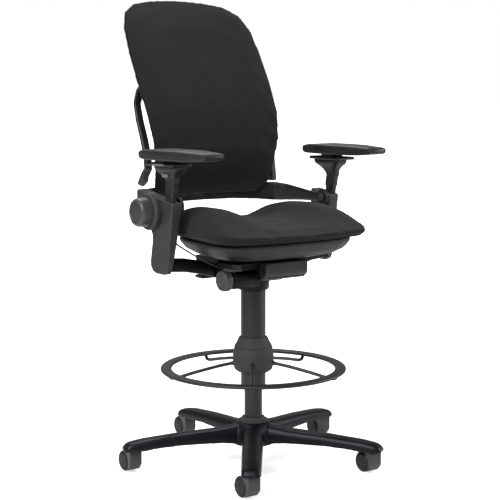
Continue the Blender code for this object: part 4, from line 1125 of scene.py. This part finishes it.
class CHAIR_OT_arm_pads(bpy.types.Operator):
    """Build the soft arm pads"""
    bl_idname = "chair.arm_pads"
    bl_label = "Arm Pads"

    # the left pad's two long edges: place along Y and distance from its middle line
    inner = [(-0.194, -0.0300), (-0.188, -0.0345), (-0.110, -0.0430), (-0.020, -0.0480),
             (0.050, -0.0440), (0.084, -0.0340)]
    outer = [(-0.194, 0.0190), (-0.188, 0.0245), (-0.110, 0.0400), (-0.020, 0.0490),
             (0.050, 0.0455), (0.084, 0.0350)]
    middle_x, middle_y = 0.261, -0.045
    front, rear = -0.197, 0.100        # ends of the outline along Y
    depth = 0.0260                     # nominal thickness, for which the drops are given
    dish, dish_reach = 0.0012, 0.75
    # from the middle outwards: share of the outline, and drop from the top or rise from below
    upper = [(0.10, 0.0), (0.35, 0.0), (0.60, 0.0002), (0.80, 0.0006), (0.90, 0.0012),
             (0.955, 0.0026), (0.982, 0.0048), (0.996, 0.0078), (1.0, 0.0130), (1.0, 0.0160),
             (0.990, 0.0168), (0.990, 0.0174), (1.0, 0.0182)]
    lower = [(0.996, 0.0052), (0.975, 0.0024), (0.93, 0.0006), (0.60, 0.0), (0.20, 0.0)]

    def execute(self, context):
        outline = [(self.middle_x + x, y) for y, x in self.outer]
        outline += [(self.middle_x + 0.002, self.rear)]
        outline += [(self.middle_x + x, y) for y, x in reversed(self.inner)]
        outline += [(self.middle_x - 0.006, self.front)]
        outline = closed_curve(outline, 10)
        centre = Vector((self.middle_x, self.middle_y))
        for side, sign in SIDES:
            low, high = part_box(f"arm_pad_{side}")
            crown = [(self.front, high.z - 0.0036), (-0.09, high.z - 0.0005),
                     (0.03, high.z - 0.0005), (self.rear, high.z - 0.0050)]
            floor = [(self.front, low.z + 0.0050), (-0.12, low.z), (0.060, low.z),
                     (self.rear, low.z + 0.0040)]
            rings = []
            for share, drop in self.upper:
                sunk = self.dish * max(0.0, 1 - (share / self.dish_reach) ** 2)
                ring = []
                for flat in (centre + (p - centre) * share for p in outline):
                    top, bottom = ease(crown, flat.y), ease(floor, flat.y)
                    z = top - drop * (top - bottom) / self.depth - sunk
                    ring.append(Vector((flat.x, flat.y, z)))
                rings.append(ring)
            for share, rise in self.lower:
                spots = (centre + (p - centre) * share for p in outline)
                rings.append([Vector((p.x, p.y, ease(floor, p.y) + rise)) for p in spots])
            pad = skin(rings)
            if sign < 0:
                mirrored(pad)
            made = piece(f"arm_rest_{side}", moved(pad, SHIFT), "pad_skin", f"arm_pad_{side}",
                         [f"arm_pad_{side}"], 60.0)
        return {"FINISHED"}


# ---- Seat ------------------------------------------------------------------------------------
class CHAIR_OT_seat(bpy.types.Operator):
    """Build the seat's cushion, its hem and its pan"""
    bl_idname = "chair.seat"
    bl_label = "Seat"

    clamp_height, clamp_blend = 0.618, 0.012       # below this the cover is fixed to the pan
    bolster = 0.0050                               # extra rise of the side wings
    hem_height, hem_radius, hem_points = 0.6155, 0.0016, 160

    def execute(self, context):
        cushion = cushion_blank("seat_cushion")

        def held(normal, point):
            if normal.z < -0.35:
                return 1.0
            return max(0.0, min(1.0, (self.clamp_height - point.z) / self.clamp_blend))

        inflate(cushion, context.scene.chair_upholstery.swell, held)
        for v in cushion.data.vertices:
            side = ease([(0.08, 0.0), (0.17, 1.0)], abs(v.co.x))
            along = ease([(-0.19, 0.0), (-0.09, 1.0), (0.03, 1.0), (0.10, 0.3)], v.co.y - SHIFT.y)
            v.co.z += self.bolster * side * along * ease([(0.635, 0.0), (0.665, 1.0)], v.co.z)
        made = upholstered("seat_upholstery", cushion, "seat_cloth", "seat",
                           "seat_cushion")
        self.hem(made)
        piece_of_mesh("seat_tray", cast_copy("seat_pan", 0.003, 6), "pan_plastic", "seat",
                      ["seat_pan"], EVERY_ANGLE)
        return {"FINISHED"}

    def hem(self, cushion):
        """The turned edge of the cover where it meets the pan."""
        bm = bmesh.new()
        bm.from_mesh(cushion.data)
        edge = bmesh.ops.bisect_plane(bm, geom=bm.verts[:] + bm.edges[:] + bm.faces[:],
                                      plane_co=(0, 0, self.hem_height), plane_no=UP,
                                      clear_inner=True, clear_outer=True)["geom_cut"]
        points = [v.co.copy() for v in edge if isinstance(v, bmesh.types.BMVert)]
        bm.free()
        points.sort(key=lambda p: math.atan2(p.y - SHIFT.y, p.x))
        count = self.hem_points
        step = len(points) / count
        loop = [points[int(k * step)] for k in range(count)]
        loop = [(loop[k - 1] + loop[k] + loop[(k + 1) % count]) / 3 for k in range(count)]
        rings = []
        for k, here in enumerate(loop):
            ahead = (loop[(k + 1) % count] - loop[k - 1]).normalized()
            rings.append(rounded_ring(here, ahead.cross(UP).normalized(), UP, self.hem_radius,
                                      self.hem_radius, 1.0, 12))
        piece("seat_hem", skin(rings, closed=True), "seat_cloth", "seat", (),
              EVERY_ANGLE)


# ---- Back ------------------------------------------------------------------------------------
class CHAIR_OT_back(bpy.types.Operator):
    """Build the back's cushion, shell, yoke and bands"""
    bl_idname = "chair.back"
    bl_label = "Back"

    swell_share, pressure = 0.7, 3.0       # the back's padding is thinner than the seat's

    def execute(self, context):
        cushion = cushion_blank("back_cushion")

        def held(normal, point):
            return 1.0 if normal.y > 0.3 else max(0.0, min(1.0, (normal.y + 0.55) / 0.6))

        swell = context.scene.chair_upholstery.swell * self.swell_share
        inflate(cushion, swell, held, self.pressure)
        upholstered("back_upholstery", cushion, "back_cloth", "back",
                    "back_cushion")
        castings = [("back_panel", "back_shell", 0.0022, 10, "pan_plastic", "trim_plastic"),
                    ("back_cradle", "back_yoke", 0.0018, 5, "stem_plastic", "arm_plastic")]
        for side, _ in SIDES:
            castings.append((f"back_band_{side}", f"back_upright_{side}", 0.0015, 5,
                             "stem_plastic", "arm_plastic"))
        for name, node, voxel, rounds, material, slot in castings:
            piece_of_mesh(name, cast_copy(node, voxel, rounds), material, "back", [node],
                          EVERY_ANGLE)
        return {"FINISHED"}


# ---- Panel and registration ------------------------------------------------------------------
STEPS = ("stage", "base", "casters", "column", "foot_ring", "mechanism", "uprights",
         "firmness_knob", "armrests", "arm_pads", "seat", "back")
SETTINGS = (("chair_stage", StageSettings), ("chair_upholstery", UpholsterySettings),
            ("chair_plastic", PlasticSettings), ("chair_paint", PaintSettings))


class CHAIR_PT_panel(bpy.types.Panel):
    """Lists the chair's pieces and their sizes and colours"""
    bl_label = "Drafting Chair"
    bl_idname = "CHAIR_PT_panel"
    bl_space_type = "VIEW_3D"
    bl_region_type = "UI"
    bl_category = "Chair"

    def draw(self, context):
        for name, kind in SETTINGS:
            box = self.layout.box()
            for key in kind.__annotations__:
                box.prop(getattr(context.scene, name), key)
        for step in STEPS:
            self.layout.operator(f"chair.{step}")


CLASSES = tuple(kind for _, kind in SETTINGS) + (
    CHAIR_OT_stage, CHAIR_OT_base, CHAIR_OT_casters, CHAIR_OT_column, CHAIR_OT_foot_ring,
    CHAIR_OT_mechanism, CHAIR_OT_uprights, CHAIR_OT_firmness_knob, CHAIR_OT_armrests,
    CHAIR_OT_arm_pads, CHAIR_OT_seat, CHAIR_OT_back, CHAIR_PT_panel)


def register():
    for kind in CLASSES:
        bpy.utils.register_class(kind)
    for name, kind in SETTINGS:
        setattr(bpy.types.Scene, name, PointerProperty(type=kind))


def unregister():
    for name, _ in SETTINGS:
        delattr(bpy.types.Scene, name)
    for kind in reversed(CLASSES):
        bpy.utils.unregister_class(kind)


def main():
    register()
    make_materials()
    for step in STEPS:
        getattr(bpy.ops.chair, step)()


if __name__ == "__main__":
    main()
